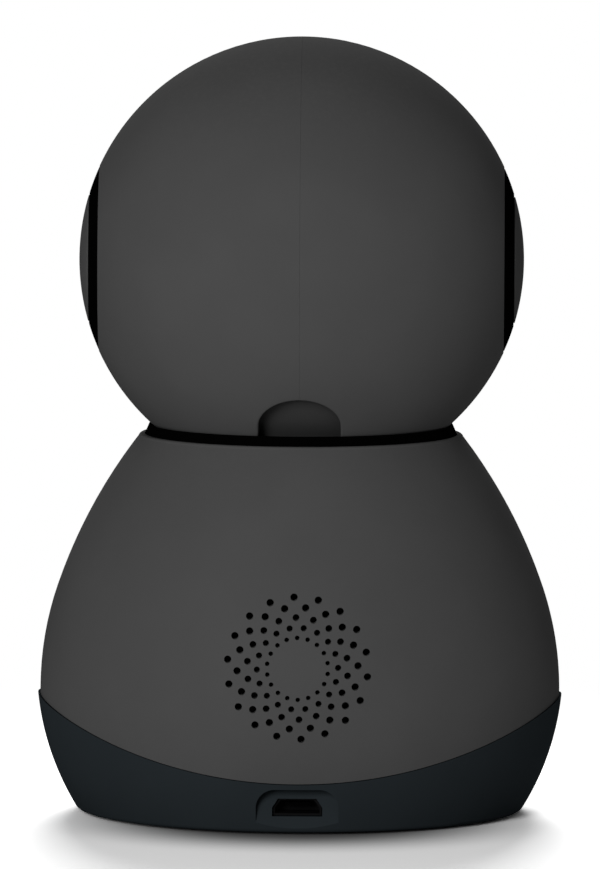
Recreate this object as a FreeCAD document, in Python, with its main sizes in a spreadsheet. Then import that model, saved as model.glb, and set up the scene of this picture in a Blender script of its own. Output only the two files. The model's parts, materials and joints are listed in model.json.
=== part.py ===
import FreeCAD, Part
import math
import os
import re
import Sketcher

# A pan and tilt baby monitor: a ball head with the camera in it, on a bell-shaped body.
# Millimetres, +Z up. The origin is the middle of the footprint, on the plane the feet stand on.
# The lens faces -Y, and the speaker and the power socket are at the back, towards +Y.

doc = FreeCAD.newDocument("baby_monitor")
sheet = doc.addObject("Spreadsheet::Sheet", "dims")

DIMENSIONS = {
    # Head: a sphere in two halves, cut flat at the sides, at the face and by a slot below.
    "head_radius": 35,
    "head_wall": 2,
    "head_height": 87.2,
    "rough_skin": 1,
    "fit_gap": 0.1,
    "wall_bury": 0.5,
    "side_plane": 31.8,
    "slot_half": 6.4,
    "slot_rear": 44.5,
    "slot_front": 31.6,
    "face_plane": 28,
    "face_seat": 26.8,
    "rebate_radius": 20.2,
    "face_flange_bore": 17,
    "face_flange_sweep": 150,
    "carrier_thick": 2.1,
    "post_reach": 28,
    "post_radius": 1.8,
    "post_length": 17.2,
    "post_rear_angle": 28,
    "post_front_angle": 24,
    "pin_radius": 0.95,
    "pin_length": 3.5,
    "pin_room": 0.3,
    "face_flange_thick": 1.5,
    "face_flange_inset": 1.3,
    # Pivots of the head.
    "journal_radius": 8.5,
    "hub_radius": 11,
    "hub_end": 21.4,
    "arm_face": 21,
    "arm_thick": 3.5,
    "arm_half": 6,
    "arm_crown": 10,
    "side_gap": 0.08,
    "band_end": 33.35,
    "band_radius": 34.95,
    "pivot_screw": 1.5,
    "pivot_sink": 3.1,
    "pivot_sink_floor": 29.5,
    "key_reach": 5.5,
    "key_radius": 0.9,
    "key_length": 2,
    "cap_thick": 1.2,
    "pivot_head_high": 2.2,
    "pivot_screw_short": 0.4,
    # Yoke, its neck and the shield behind the slot.
    "bridge_top": 24,
    "bridge_thick": 3,
    "bridge_half": 16.5,
    "arm_foot": 21.5,
    "arm_toe": 2.5,
    "plate_near": 14.5,
    "plate_far": 22,
    "plate_flat": 9,
    "web_reach": 8,
    "neck_radius": 5.8,
    "neck_bore": 3.6,
    "neck_foot": 5.15,
    "neck_step": 46,
    "neck_end": 43,
    "shield_radius": 32.4,
    "shield_thick": 1.2,
    "shield_half": 8.5,
    "shield_front": 20,
    "shield_rear": 85,
    "shield_boss": 8.2,
    "shield_boss_foot": 30.9,
    # Gears: twelve-tooth pinions of the same module drive both wheels.
    "gear_module": 0.6,
    "pressure_angle": 20,
    "pan_teeth": 48,
    "tilt_teeth": 44,
    "pinion_teeth": 12,
    "wheel_addendum": 0.45,
    "pinion_addendum": 0.55,
    "wheel_dedendum": 0.75,
    "pinion_dedendum": 0.65,
    "tooth_play": 0.08,
    "tooth_bury": 0.3,
    "gear_clear": 0.5,
    "gear_width": 2.5,
    "shaft_radius": 1.5,
    "pan_shaft": 5.4,
    "tilt_shaft": 3.9,
    # Geared motors.
    "motor_radius": 10,
    "motor_height": 14.9,
    "motor_offset": 6,
    "ear_reach": 12.5,
    "ear_radius": 3,
    "ear_thick": 0.8,
    "ear_hole": 1.1,
    "motor_boss": 3.5,
    "motor_boss_height": 1.7,
    "shaft_play": 0.1,
    "plug_half": 4,
    "plug_reach": 2,
    "plug_drop": 5,
    "plug_length": 7,
    "pan_motor_face": 42,
    # Body: two tangent arcs above the widest level, one below it.
    "body_radius": 40.9,
    "widest_height": 19.4,
    "lower_arc": 50.4,
    "arc_break": 18.8,
    "upper_arc": 82.5,
    "under_arc": 29,
    "body_top": 59.7,
    "body_wall": 2,
    "lip_round": 0.5,
    "lip_drop": 0.4,
    "lip_inset": 0.3,
    "seam_low": 8.4,
    "seam_arc": 86.5,
    "seam_gap": 0.12,
    "seam_reach": 45,
    "pillar_length": 15,
    "web_half": 1,
    "web_low": 17.5,
    "web_length": 6.5,
    "pilot_depth": 6,
    "collar_seat": 57.3,
    "collar_seat_radius": 24.6,
    "flange_bore": 22,
    "flange_thick": 1.8,
    # Collar and turntable under the head.
    "collar_radius": 24.55,
    "collar_edge": 23.9,
    "collar_edge_height": 61.22,
    "head_gap": 0.3,
    "collar_bore": 20.2,
    "skirt_radius": 21.9,
    "skirt_end": 54,
    "catch_half": 2.5,
    "catch_root": 0.6,
    "catch_reach": 0.8,
    "catch_low": 54.2,
    "catch_high": 1.2,
    "dish_radius": 19.7,
    "dish_gap": 0.4,
    "dish_rim": 56.2,
    "pan_hub": 9,
    "pan_hub_end": 42.6,
    "groove_radius": 8.2,
    "groove_low": 43.4,
    "groove_high": 44.6,
    "clip_radius": 10.6,
    "clip_mouth": 4,
    "table_foot": 13,
    "wheel_top": 50,
    # Bearing deck.
    "deck_radius": 30,
    "deck_low": 45,
    "deck_high": 47,
    "deck_bearing": 11.5,
    "deck_bearing_high": 47.4,
    "running_gap": 0.05,
    "deck_boss_reach": 26.5,
    "deck_boss_radius": 2.8,
    "deck_boss_length": 8.4,
    "deck_pilot_radius": 1.05,
    "deck_pilot_depth": 4.5,
    "deck_shaft_room": 0.5,
    "motor_stand_trim": 0.4,
    "motor_pilot_depth": 3.6,
    # Speaker and its field of holes.
    "speaker_height": 26.55,
    "speaker_face": 33,
    "speaker_seat": 14.6,
    "speaker_seat_bore": 12.6,
    "hole_spokes": 18,
    "hole_start": 9.1,
    "hole_drift": 0.57,
    "hole_first": 4.75,
    "hole_step": 1.54,
    "hole_inner": 0.36,
    "hole_second": 0.48,
    "hole_third": 0.53,
    "hole_outer": 0.57,
    "basket_play": 0.2,
    "basket_edge": 1,
    "basket_foot": 7.4,
    "basket_back": 8.2,
    "basket_inside": 5.4,
    "basket_depth": 6.2,
    "basket_flange": 1.2,
    "basket_lip": 1.8,
    "magnet_radius": 8,
    "magnet_bevel": 0.4,
    "magnet_depth": 11.5,
    "cone_hub": 4,
    "cone_low": 5.3,
    "cone_hub_top": 4.6,
    "cone_shoulder": 3.8,
    "cone_edge": 11.2,
    "cone_edge_low": 1.6,
    "cone_edge_high": 1,
    "cone_rim": 12.3,
    "cone_rim_high": 0.6,
    "dome_radius": 3.8,
    "dome_foot": 3.7,
    "dome_bend": 1.8,
    # Lower cradle.
    "cradle_low": 0.4,
    "cradle_arc": 41.8,
    "cradle_back": 0.35,
    "cradle_centre": 22.8,
    "cradle_round": 1.3,
    "cradle_wall": 2.6,
    "cradle_floor": 2.6,
    "cradle_rough_top": 22,
    "lip_clearance": 0.1,
    "lip_thick": 1.2,
    "lip_low": 6.4,
    "lip_rise": 1.5,
    "base_screw_reach": 31,
    "base_boss_radius": 3.2,
    "base_boss_top": 9,
    "base_sink": 2.3,
    "base_sink_top": 5.5,
    "tripod_boss": 6.2,
    "tripod_boss_top": 8.4,
    "tripod_insert_radius": 4.2,
    "tripod_insert_top": 8,
    "tripod_bore": 2.6,
    "foot_reach": 26,
    "foot_radius": 4,
    "foot_sink": 0.6,
    "foot_play": 0.1,
    "foot_bevel": 0.4,
    # Pan-head screws with a cross recess.
    "screw_head": 2,
    "screw_head_high": 1.3,
    "screw_crown": 0.6,
    "screw_point": 0.8,
    "base_screw_length": 9,
    "deck_screw_length": 6,
    "motor_screw_length": 4,
    "cross_half": 0.3,
    "cross_reach": 1.1,
    "cross_depth": 0.8,
    # Power socket in its recess.
    "recess_half": 6.43,
    "recess_top": 7.5,
    "recess_round": 3,
    "recess_plane": 35.4,
    "socket_half": 3.9,
    "socket_half_top": 3,
    "socket_low": 3.03,
    "socket_shoulder": 4.4,
    "socket_wall_inner": 33.2,
    "backing_margin": 0.8,
    "backing_low_plane": 34.5,
    "backing_step": 4.2,
    "backing_top": 9.6,
    "socket_setback": 0.9,
    "socket_gap": 0.12,
    "socket_sheet": 0.3,
    "socket_length": 6,
    "socket_depth": 5,
    "tongue_half": 1.9,
    "tongue_low": 1.2,
    "tongue_thick": 0.5,
    "tongue_setback": 0.7,
    # Circuit board.
    "board_low": 5.8,
    "board_high": 7,
    "board_radius": 27,
    "standoff_reach": 22,
    "standoff_radius": 2.2,
    "standoff_pin": 0.95,
    "board_tab": 6,
    "board_gap": 0.3,
    "chip_bevel": 0.3,
    "processor_left": -20,
    "processor_front": -4,
    "processor_width": 12,
    "processor_high": 1.6,
    "can_left": 8.5,
    "can_front": -5,
    "can_width": 12,
    "can_depth": 14,
    "can_high": 2,
    "tact_half": 2.2,
    "tact_high": 0.8,
    "tact_stub": 1,
    "tact_travel": 0.25,
    # Pairing button.
    "button_reach": 16,
    "button_radius": 1.5,
    "button_hole": 1.6,
    "button_flange": 2.4,
    "button_top": 4.2,
    "button_sink": 0.4,
    "button_stem": 1.1,
    "button_flange_top": 0.8,
    # Camera behind the face window.
    "window_radius": 20.1,
    "window_dome": 60,
    "window_wall": 1.4,
    "window_rim": 17.6,
    "window_bore": 7.45,
    "lens_radius": 7,
    "lens_front": 27.4,
    "carrier_margin": 1.2,
    "leg_across": 13,
    "leg_up": 7.5,
    "leg_radius": 1.9,
    "ring_radius": 7.4,
    "ring_bore": 5.2,
    "ring_front": 31.9,
    "ring_bevel": 0.4,
    "ring_land": 1.2,
    "ring_throat": 1.8,
    "glass_edge": 1.2,
    "glass_bend": 1.6,
    "glass_radius": 5.1,
    "camera_board_front": 20.2,
    "camera_board_back": 19,
    "camera_board_half_width": 15.5,
    "camera_board_half_height": 13.5,
    "camera_board_corner": 3,
    "lamp_reach": 11.5,
    "lamp_radius": 1.5,
    "lamp_room": 0.4,
    "lamp_high": 4.2,
    "lamp_round": 1.2,
}

FAR = "50"  # beyond every surface of the camera


def fill_sheet():
    for row, (name, size) in enumerate(DIMENSIONS.items(), start=1):
        sheet.set(f"A{row}", name)
        sheet.set(f"B{row}", str(size))
        sheet.setAlias(f"B{row}", name)
    doc.recompute()


def with_sheet(formula):
    """The formula with each sheet name written as an object of the document reads it."""
    return re.sub(r"[a-z_]+", lambda word: f"dims.{word[0]}" if word[0] in DIMENSIONS else word[0], formula)


def size_of(formula):
    return float(sheet.evalExpression(with_sheet(formula)))


def bind(item, name, formula):
    item.setExpression(name, with_sheet(formula))


# Distances between the gears' axes.
PAN_DISTANCE = "(gear_module * (pan_teeth + pinion_teeth) / 2)"
TILT_DISTANCE = "(gear_module * (tilt_teeth + pinion_teeth) / 2)"

# Places on the body's outline, as formulas in the sheet's names.
BREAK_R = "(body_radius - lower_arc * (1 - cos(arc_break)))"
BREAK_Z = "(widest_height + lower_arc * sin(arc_break))"
INNER_BREAK_R = f"({BREAK_R} - body_wall * cos(arc_break))"
INNER_BREAK_Z = f"({BREAK_Z} - body_wall * sin(arc_break))"


def upper_wall(height, inset="0"):
    """Radius of the body above the break between its arcs."""
    centre_r = f"({BREAK_R} - upper_arc * cos(arc_break))"
    centre_z = f"({BREAK_Z} - upper_arc * sin(arc_break))"
    return f"({centre_r} + sqrt((upper_arc - ({inset}))^2 - ({height} - {centre_z})^2))"


def under_wall(height, inset="0"):
    """Radius of the body below its widest level."""
    return f"(body_radius - under_arc + sqrt((under_arc - ({inset}))^2 - (widest_height - ({height}))^2))"


def cradle_side(height, inset="0"):
    """Radius of the lower cradle."""
    return f"(sqrt((cradle_arc - ({inset}))^2 - (cradle_centre - ({height}))^2) - cradle_back)"


def seam(side, drop="0"):
    """Height of the seam at a distance to the side: an arc that is low at the front and back."""
    return f"(seam_low - ({drop}) + seam_arc - sqrt(seam_arc^2 - ({side})^2))"


def circle_height(radius, side):
    return f"sqrt(({radius})^2 - ({side})^2)"


def under_head(radius, gap):
    """Height of a dish that follows the head at a gap, at a distance from the axis."""
    return f"(head_height - sqrt((head_radius + {gap})^2 - ({radius})^2))"


class Piece:
    """One piece of the camera, made of sketches and the features that they shape."""

    made = []

    def __init__(self, label, place=("0", "0", "0"), axis=(0, 0, 1), turn="0"):
        self.body = doc.addObject("PartDesign::Body", label)
        self.body.Label = label
        self.body.Placement = FreeCAD.Placement(
            FreeCAD.Vector(), FreeCAD.Rotation(FreeCAD.Vector(*axis), size_of(turn))
        )
        for letter, formula in zip("xyz", place):
            bind(self.body, f"Placement.Base.{letter}", formula)
        Piece.made.append(self)

    def page(self, plane, lift="0", turn="0", up="0"):
        """A sketch on an origin plane, turned about its own x axis and moved along its y axis or normal."""
        count = sum(item.TypeId == "Sketcher::SketchObject" for item in self.body.Group)
        sketch = self.body.newObject("Sketcher::SketchObject", f"{self.body.Label}_sketch_{count + 1}")
        planes = {item.Role: item for item in self.body.Origin.OriginFeatures}
        sketch.AttachmentSupport = [(planes[plane], "")]
        sketch.MapMode = "FlatFace"
        sketch.AttachmentOffset = FreeCAD.Placement(
            FreeCAD.Vector(), FreeCAD.Rotation(FreeCAD.Vector(1, 0, 0), size_of(turn))
        )
        for name, formula in (("Rotation.Angle", turn), ("Base.z", lift), ("Base.y", up)):
            if formula != "0" and not (name == "Rotation.Angle" and size_of(formula) < 0):
                bind(sketch, f"AttachmentOffset.{name}", formula)
        return sketch

    def feature(self, kind, sketch):
        count = sum(item.TypeId == f"PartDesign::{kind}" for item in self.body.Group)
        name = f"{self.body.Label}_{kind.lower()}_{count + 1}"
        item = self.body.newObject(f"PartDesign::{kind}", name)
        item.Profile = sketch
        return item

    def straight(self, kind, sketch, length, reverse=False, both=False):
        item = self.feature(kind, sketch)
        bind(item, "Length", length)
        item.Reversed = reverse
        if both:
            item.SideType = "Symmetric"
        return item

    def pad(self, sketch, length, **options):
        return self.straight("Pad", sketch, length, **options)

    def pocket(self, sketch, length, **options):
        return self.straight("Pocket", sketch, length, **options)

    def turned(self, kind, sketch, axis, angle, reverse=False, both=False):
        item = self.feature(kind, sketch)
        item.ReferenceAxis = (sketch, [axis])
        bind(item, "Angle", angle)
        item.Reversed = reverse
        item.Midplane = both
        return item

    def revolve(self, sketch, axis="V_Axis", angle="360", **options):
        return self.turned("Revolution", sketch, axis, angle, **options)

    def groove(self, sketch, axis="V_Axis", angle="360", **options):
        return self.turned("Groove", sketch, axis, angle, **options)

    def dress(self, kind, name, size, above):
        """Round or bevel the edges of the last feature that lie above a height."""
        doc.recompute()
        solid = self.body.Tip
        edges = enumerate(solid.Shape.Edges, start=1)
        top = [f"Edge{number}" for number, edge in edges if edge.BoundBox.ZMin > size_of(above) - 0.01]
        item = self.body.newObject(f"PartDesign::{kind}", f"{self.body.Label}_{kind.lower()}")
        item.Base = (solid, top)
        bind(item, name, size)

    def spread(self, items, count, sketch, axis="N_Axis"):
        """The features repeated round a sketch's axis."""
        ring = self.body.newObject("PartDesign::PolarPattern", f"{items[0].Name}_ring")
        ring.Originals = items
        ring.Axis = (sketch, [axis])
        ring.Angle = 360
        bind(ring, "Occurrences", count)
        self.body.Tip = ring
        return ring


def hold_point(sketch, shape, end, x, y):
    """Tie a point of a sketch to two formulas."""
    for kind, formula, axis in (("DistanceX", x, -2), ("DistanceY", y, -1)):
        if abs(size_of(formula)) < 1e-9:
            sketch.addConstraint(Sketcher.Constraint("PointOnObject", shape, end, axis))
            continue
        number = sketch.addConstraint(Sketcher.Constraint(kind, -1, 1, shape, end, size_of(formula)))
        bind(sketch, f"Constraints[{number}]", formula)


def draw(sketch, corners):
    """A closed outline. A corner with a radius and a turn of 1 or -1 starts an arc, else a line."""
    points = [FreeCAD.Vector(size_of(corner[0]), size_of(corner[1]), 0) for corner in corners]
    base = sketch.GeometryCount
    ends = []
    for index, corner in enumerate(corners):
        start, stop = points[index], points[(index + 1) % len(points)]
        if len(corner) == 2:
            shape = sketch.addGeometry(Part.LineSegment(start, stop))
            ends.append((shape, 1, 2))
            continue
        radius, turn = size_of(corner[2]), corner[3]
        chord = stop - start
        away = math.sqrt(radius**2 - (chord.Length / 2) ** 2)
        side = FreeCAD.Vector(-chord.y, chord.x, 0) * (turn * away / chord.Length)
        centre = (start + stop) / 2 + side
        first, last = (start, stop) if turn > 0 else (stop, start)
        angles = [math.atan2(point.y - centre.y, point.x - centre.x) for point in (first, last)]
        circle = Part.Circle(centre, FreeCAD.Vector(0, 0, 1), radius)
        shape = sketch.addGeometry(Part.ArcOfCircle(circle, *angles))
        ends.append((shape, 1, 2) if turn > 0 else (shape, 2, 1))
        number = sketch.addConstraint(Sketcher.Constraint("Radius", shape, radius))
        bind(sketch, f"Constraints[{number}]", corner[2])
    for index, corner in enumerate(corners):
        shape, start, _ = ends[index]
        before, _, stop = ends[index - 1]
        sketch.addConstraint(Sketcher.Constraint("Coincident", before, stop, shape, start))
        hold_point(sketch, shape, start, corner[0], corner[1])
    assert sketch.GeometryCount == base + len(corners)
    return sketch


def rectangle(sketch, left, low, right, high):
    return draw(sketch, [(left, low), (right, low), (right, high), (left, high)])


def circle(sketch, radius, x="0", y="0"):
    middle = FreeCAD.Vector(size_of(x), size_of(y), 0)
    shape = sketch.addGeometry(Part.Circle(middle, FreeCAD.Vector(0, 0, 1), size_of(radius)))
    number = sketch.addConstraint(Sketcher.Constraint("Radius", shape, size_of(radius)))
    bind(sketch, f"Constraints[{number}]", radius)
    hold_point(sketch, shape, 3, x, y)
    return sketch


def body_shell():
    """The bell-shaped body: arcs turned about the axis, trimmed to the outline after the bosses grow."""
    shell = Piece("body_shell")
    wall = shell.page("XZ_Plane")
    rough = "(body_radius + 2 * rough_skin)"
    draw(wall, [
        (rough, "seam_low"),
        (rough, "widest_height + 6 * rough_skin"),
        (upper_wall("body_top", "-3 * rough_skin"), "body_top"),
        ("collar_seat_radius", "body_top"),
        ("collar_seat_radius", "collar_seat"),
        ("flange_bore", "collar_seat"),
        ("flange_bore", "collar_seat - flange_thick"),
        (upper_wall("(collar_seat - flange_thick)", "body_wall"), "collar_seat - flange_thick",
         "upper_arc - body_wall", -1),
        (INNER_BREAK_R, INNER_BREAK_Z, "lower_arc - body_wall", -1),
        ("body_radius - body_wall", "widest_height", "under_arc - body_wall", -1),
        (under_wall("seam_low", "body_wall"), "seam_low"),
    ])
    shell.revolve(wall)
    below = shell.page("XZ_Plane")
    draw(below, [
        ("-seam_reach", seam("seam_reach"), "seam_arc", 1),
        ("seam_reach", seam("seam_reach")),
        ("seam_reach", "0"),
        ("-seam_reach", "0"),
    ])
    shell.pocket(below, "4 * " + FAR, both=True)

    seat = shell.page("XZ_Plane", lift="-speaker_face", up="speaker_height")
    circle(seat, "speaker_seat")
    circle(seat, "speaker_seat_bore")
    shell.pad(seat, "body_radius + rough_skin - speaker_face", reverse=True)

    pillar = shell.page("XY_Plane", lift="base_boss_top")
    circle(pillar, "base_boss_radius - 2 * fit_gap", "0", "-base_screw_reach")
    pillars = [shell.pad(pillar, "pillar_length")]
    web = shell.page("XY_Plane", lift="web_low")
    rectangle(web, "-web_half", "-body_radius", "web_half", "-base_screw_reach")
    pillars.append(shell.pad(web, "web_length"))
    pilot = shell.page("XY_Plane", lift="base_boss_top")
    circle(pilot, "ear_hole", "0", "-base_screw_reach")
    pillars.append(shell.pocket(pilot, "pilot_depth", reverse=True))
    shell.spread(pillars, "3", pilot)

    boss = shell.page("XY_Plane", lift="deck_high")
    circle(boss, "deck_boss_radius", "0", "-deck_boss_reach")
    bosses = [shell.pad(boss, "deck_boss_length")]
    hole = shell.page("XY_Plane", lift="deck_high")
    circle(hole, "deck_pilot_radius", "0", "-deck_boss_reach")
    bosses.append(shell.pocket(hole, "deck_pilot_depth", reverse=True))
    shell.spread(bosses, "3", hole)

    skin = shell.page("XZ_Plane")
    draw(skin, [
        (under_wall("(seam_low - rough_skin)"), "seam_low - rough_skin", "under_arc", 1),
        ("body_radius", "widest_height", "lower_arc", 1),
        (BREAK_R, BREAK_Z, "upper_arc", 1),
        (upper_wall("(body_top - lip_drop)"), "body_top - lip_drop", "lip_round", 1),
        (upper_wall("body_top") + " - lip_inset", "body_top"),
        (upper_wall("body_top") + " - lip_inset", "body_top + rough_skin"),
        (FAR, "body_top + rough_skin"),
        (FAR, "seam_low - rough_skin"),
    ])
    shell.groove(skin)

    spoke = shell.page("XZ_Plane", lift="-speaker_face", up="speaker_height")
    for ring, radius in enumerate(("hole_inner", "hole_second", "hole_third", "hole_outer", "hole_outer")):
        reach = f"(hole_first + {ring} * hole_step)"
        angle = f"(hole_start - {ring} * hole_drift + {ring % 2} * 180 / hole_spokes)"
        circle(spoke, radius, f"{reach} * cos({angle})", f"{reach} * sin({angle})")
    drilled = shell.pocket(spoke, "body_radius - speaker_face + 2 * rough_skin")
    shell.spread([drilled], "hole_spokes", spoke)


def lower_cradle():
    """The dark base: a dished tray whose rim follows the seam, with a lip that enters the body."""
    tray = Piece("lower_cradle")
    wall = tray.page("XZ_Plane")
    round_centre_r = (
        "(sqrt((cradle_arc - cradle_round)^2 - (cradle_centre - cradle_low - cradle_round)^2) - cradle_back)"
    )
    lean = "cradle_arc / (cradle_arc - cradle_round)"
    draw(wall, [
        ("0", "cradle_low"),
        (round_centre_r, "cradle_low", "cradle_round", 1),
        (f"({round_centre_r} + cradle_back) * {lean} - cradle_back",
         f"cradle_centre - (cradle_centre - cradle_low - cradle_round) * {lean}", "cradle_arc", 1),
        (cradle_side("cradle_rough_top"), "cradle_rough_top"),
        (cradle_side("cradle_rough_top", "cradle_wall"), "cradle_rough_top", "cradle_arc - cradle_wall", -1),
        (cradle_side("cradle_floor", "cradle_wall"), "cradle_floor"),
        ("0", "cradle_floor"),
    ])
    tray.revolve(wall)
    above = tray.page("XZ_Plane")
    draw(above, [
        ("-seam_reach", seam("seam_reach", "seam_gap"), "seam_arc", 1),
        ("seam_reach", seam("seam_reach", "seam_gap")),
        ("seam_reach", FAR),
        ("-seam_reach", FAR),
    ])
    tray.pocket(above, "4 * " + FAR, both=True)

    lip = tray.page("XZ_Plane")
    outside = "(body_wall + lip_clearance)"
    inside = "(body_wall + lip_clearance + lip_thick)"
    draw(lip, [
        (under_wall("lip_low", outside), "lip_low", f"under_arc - {outside}", 1),
        (under_wall("widest_height", outside), "widest_height"),
        (under_wall("widest_height", inside), "widest_height", f"under_arc - {inside}", -1),
        (under_wall("lip_low", inside), "lip_low"),
    ])
    tray.revolve(lip)
    above_lip = tray.page("XZ_Plane")
    draw(above_lip, [
        ("-seam_reach", seam("seam_reach", "-lip_rise"), "seam_arc", 1),
        ("seam_reach", seam("seam_reach", "-lip_rise")),
        ("seam_reach", FAR),
        ("-seam_reach", FAR),
    ])
    tray.pocket(above_lip, "4 * " + FAR, both=True)

    stem = tray.page("XY_Plane", lift="cradle_floor - wall_bury")
    circle(stem, "tripod_boss")
    tray.pad(stem, "tripod_boss_top - cradle_floor + wall_bury")
    backing = tray.page("XY_Plane", lift="cradle_floor - wall_bury")
    reach = "recess_half + 2 * backing_margin"
    rectangle(backing, f"-({reach})", "socket_wall_inner", reach, "backing_low_plane")
    tray.pad(backing, "backing_top - cradle_floor + wall_bury")
    upper = tray.page("XY_Plane", lift="backing_step")
    reach = "recess_half + backing_margin"
    rectangle(upper, f"-({reach})", "socket_wall_inner", reach, "recess_plane + backing_margin / 2")
    tray.pad(upper, "backing_top - backing_step")

    pillar = tray.page("XY_Plane", lift="cradle_floor - wall_bury")
    circle(pillar, "base_boss_radius", "0", "-base_screw_reach")
    grown = [tray.pad(pillar, "base_boss_top - cradle_floor + wall_bury")]
    sink = tray.page("XY_Plane", lift="cradle_low")
    circle(sink, "base_sink", "0", "-base_screw_reach")
    grown.append(tray.pocket(sink, "base_sink_top - cradle_low", reverse=True))
    through = tray.page("XY_Plane", lift="base_sink_top")
    circle(through, "ear_hole + 2 * fit_gap", "0", "-base_screw_reach")
    grown.append(tray.pocket(through, "base_boss_top", reverse=True))
    tray.spread(grown, "3", through)

    post = tray.page("XY_Plane", lift="cradle_floor - wall_bury")
    corner = "standoff_reach * cos(45)"
    circle(post, "standoff_radius", corner, corner)
    posts = [tray.pad(post, "board_low - cradle_floor + wall_bury")]
    peg = tray.page("XY_Plane", lift="board_low - wall_bury")
    circle(peg, "standoff_pin", corner, corner)
    posts.append(tray.pad(peg, "board_high - board_low + 2 * wall_bury"))
    tray.spread(posts, "4", peg)

    well = tray.page("XY_Plane", lift="cradle_low")
    reach = "foot_reach * cos(45)"
    circle(well, "foot_radius + foot_play", reach, reach)
    wells = [tray.pocket(well, "foot_sink", reverse=True)]
    tray.spread(wells, "4", well)

    thread = tray.page("XY_Plane", lift="cradle_low")
    circle(thread, "tripod_insert_radius")
    tray.pocket(thread, "tripod_insert_top - cradle_low", reverse=True)
    plunger = tray.page("XY_Plane", lift="cradle_low")
    circle(plunger, "button_hole", "0", "-button_reach")
    tray.pocket(plunger, "cradle_floor", reverse=True)

    recess = tray.page("XZ_Plane", lift="-recess_plane")
    draw(recess, [
        ("-recess_half", "0"),
        ("recess_half", "0"),
        ("recess_half", "recess_top - recess_round", "recess_round", 1),
        ("recess_half - recess_round", "recess_top"),
        ("recess_round - recess_half", "recess_top", "recess_round", 1),
        ("-recess_half", "recess_top - recess_round"),
    ])
    tray.pocket(recess, "body_radius - recess_plane + rough_skin")
    socket = tray.page("XZ_Plane", lift="-recess_plane")
    draw(socket, [
        ("-socket_half", "socket_low"),
        ("socket_half", "socket_low"),
        ("socket_half", "socket_shoulder"),
        ("socket_half_top", "board_low"),
        ("-socket_half_top", "board_low"),
        ("-socket_half", "socket_shoulder"),
    ])
    tray.pocket(socket, "recess_plane - socket_wall_inner + wall_bury", reverse=True)


def neck_collar():
    """The black collar in the body's mouth, hollowed to follow the head."""
    collar = Piece("neck_collar")
    ring = collar.page("XZ_Plane")
    draw(ring, [
        ("collar_bore", "skirt_end"),
        ("skirt_radius", "skirt_end"),
        ("skirt_radius", "collar_seat"),
        ("collar_radius", "collar_seat"),
        ("collar_radius", "body_top"),
        ("collar_edge", "collar_edge_height", "head_radius + head_gap", -1),
        ("collar_bore", under_head("collar_bore", "head_gap")),
    ])
    collar.revolve(ring)
    catch = collar.page("XY_Plane", lift="catch_low")
    rectangle(catch, "-catch_half", "-skirt_radius - catch_reach", "catch_half", "catch_root - skirt_radius")
    collar.spread([collar.pad(catch, "catch_high")], "3", catch)


def rubber_feet():
    for number in range(4):
        angle = f"({number} * 90 + 45)"
        place = (f"foot_reach * cos({angle})", f"foot_reach * sin({angle})", "0")
        foot = Piece(f"rubber_foot_{number + 1}", place)
        profile = foot.page("XZ_Plane")
        draw(profile, [
            ("0", "0"),
            ("foot_radius - foot_bevel", "0"),
            ("foot_radius", "foot_bevel"),
            ("foot_radius", "cradle_low + foot_sink"),
            ("0", "cradle_low + foot_sink"),
        ])
        foot.revolve(profile)


def screw(label, place, shank_radius, length, axis, turn, head="screw_head", high="screw_head_high"):
    """A pan-head screw. Its head stands on the local origin, and its shank points down."""
    item = Piece(label, place, axis, turn)
    profile = item.page("XZ_Plane")
    draw(profile, [
        ("0", f"-({length})"),
        (shank_radius, f"screw_point * {shank_radius} - ({length})"),
        (shank_radius, "0"),
        (head, "0"),
        (head, f"screw_crown * {high}"),
        (f"screw_crown * ({head})", high),
        ("0", high),
    ])
    item.revolve(profile)
    cross = item.page("XY_Plane", lift=high)
    quarter = [("cross_half", "cross_reach"), ("cross_half", "cross_half"), ("cross_reach", "cross_half")]
    draw(cross, [
        *quarter,
        *[(across, f"-{up}") for across, up in reversed(quarter)],
        *[(f"-{across}", f"-{up}") for across, up in quarter],
        *[(f"-{across}", up) for across, up in reversed(quarter)],
    ])
    item.pocket(cross, "cross_depth")


def base_screws():
    for number in range(3):
        angle = f"({number} * 120 - 90)"
        place = (f"base_screw_reach * cos({angle})", f"base_screw_reach * sin({angle})", "base_sink_top")
        screw(f"base_screw_{number + 1}", place, "ear_hole", "base_screw_length", (1, 0, 0), "180")


def deck_screws():
    for number in range(3):
        angle = f"({number} * 120 - 90)"
        place = (f"deck_boss_reach * cos({angle})", f"deck_boss_reach * sin({angle})", "deck_low")
        screw(f"deck_screw_{number + 1}", place, "deck_pilot_radius", "deck_screw_length", (1, 0, 0), "180")


def tripod_insert():
    insert = Piece("tripod_insert")
    profile = insert.page("XZ_Plane")
    draw(profile, [
        ("tripod_bore", "cradle_low"),
        ("tripod_insert_radius", "cradle_low"),
        ("tripod_insert_radius", "tripod_insert_top"),
        ("tripod_bore", "tripod_insert_top"),
    ])
    insert.revolve(profile)


def main_board():
    board = Piece("main_board")
    thick = "board_high - board_low"
    disc = board.page("XY_Plane", lift="board_low")
    circle(disc, "board_radius")
    board.pad(disc, thick)
    tab = board.page("XY_Plane", lift="board_low")
    rectangle(tab, "-recess_half", "board_radius - board_tab", "recess_half", "socket_wall_inner - fit_gap")
    board.pad(tab, thick)
    middle = board.page("XY_Plane", lift="board_low")
    circle(middle, "tripod_boss + board_gap")
    board.pocket(middle, thick, reverse=True)
    peg = board.page("XY_Plane", lift="board_low")
    corner = "standoff_reach * cos(45)"
    circle(peg, "standoff_pin + running_gap", corner, corner)
    board.spread([board.pocket(peg, thick, reverse=True)], "4", peg)


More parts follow.
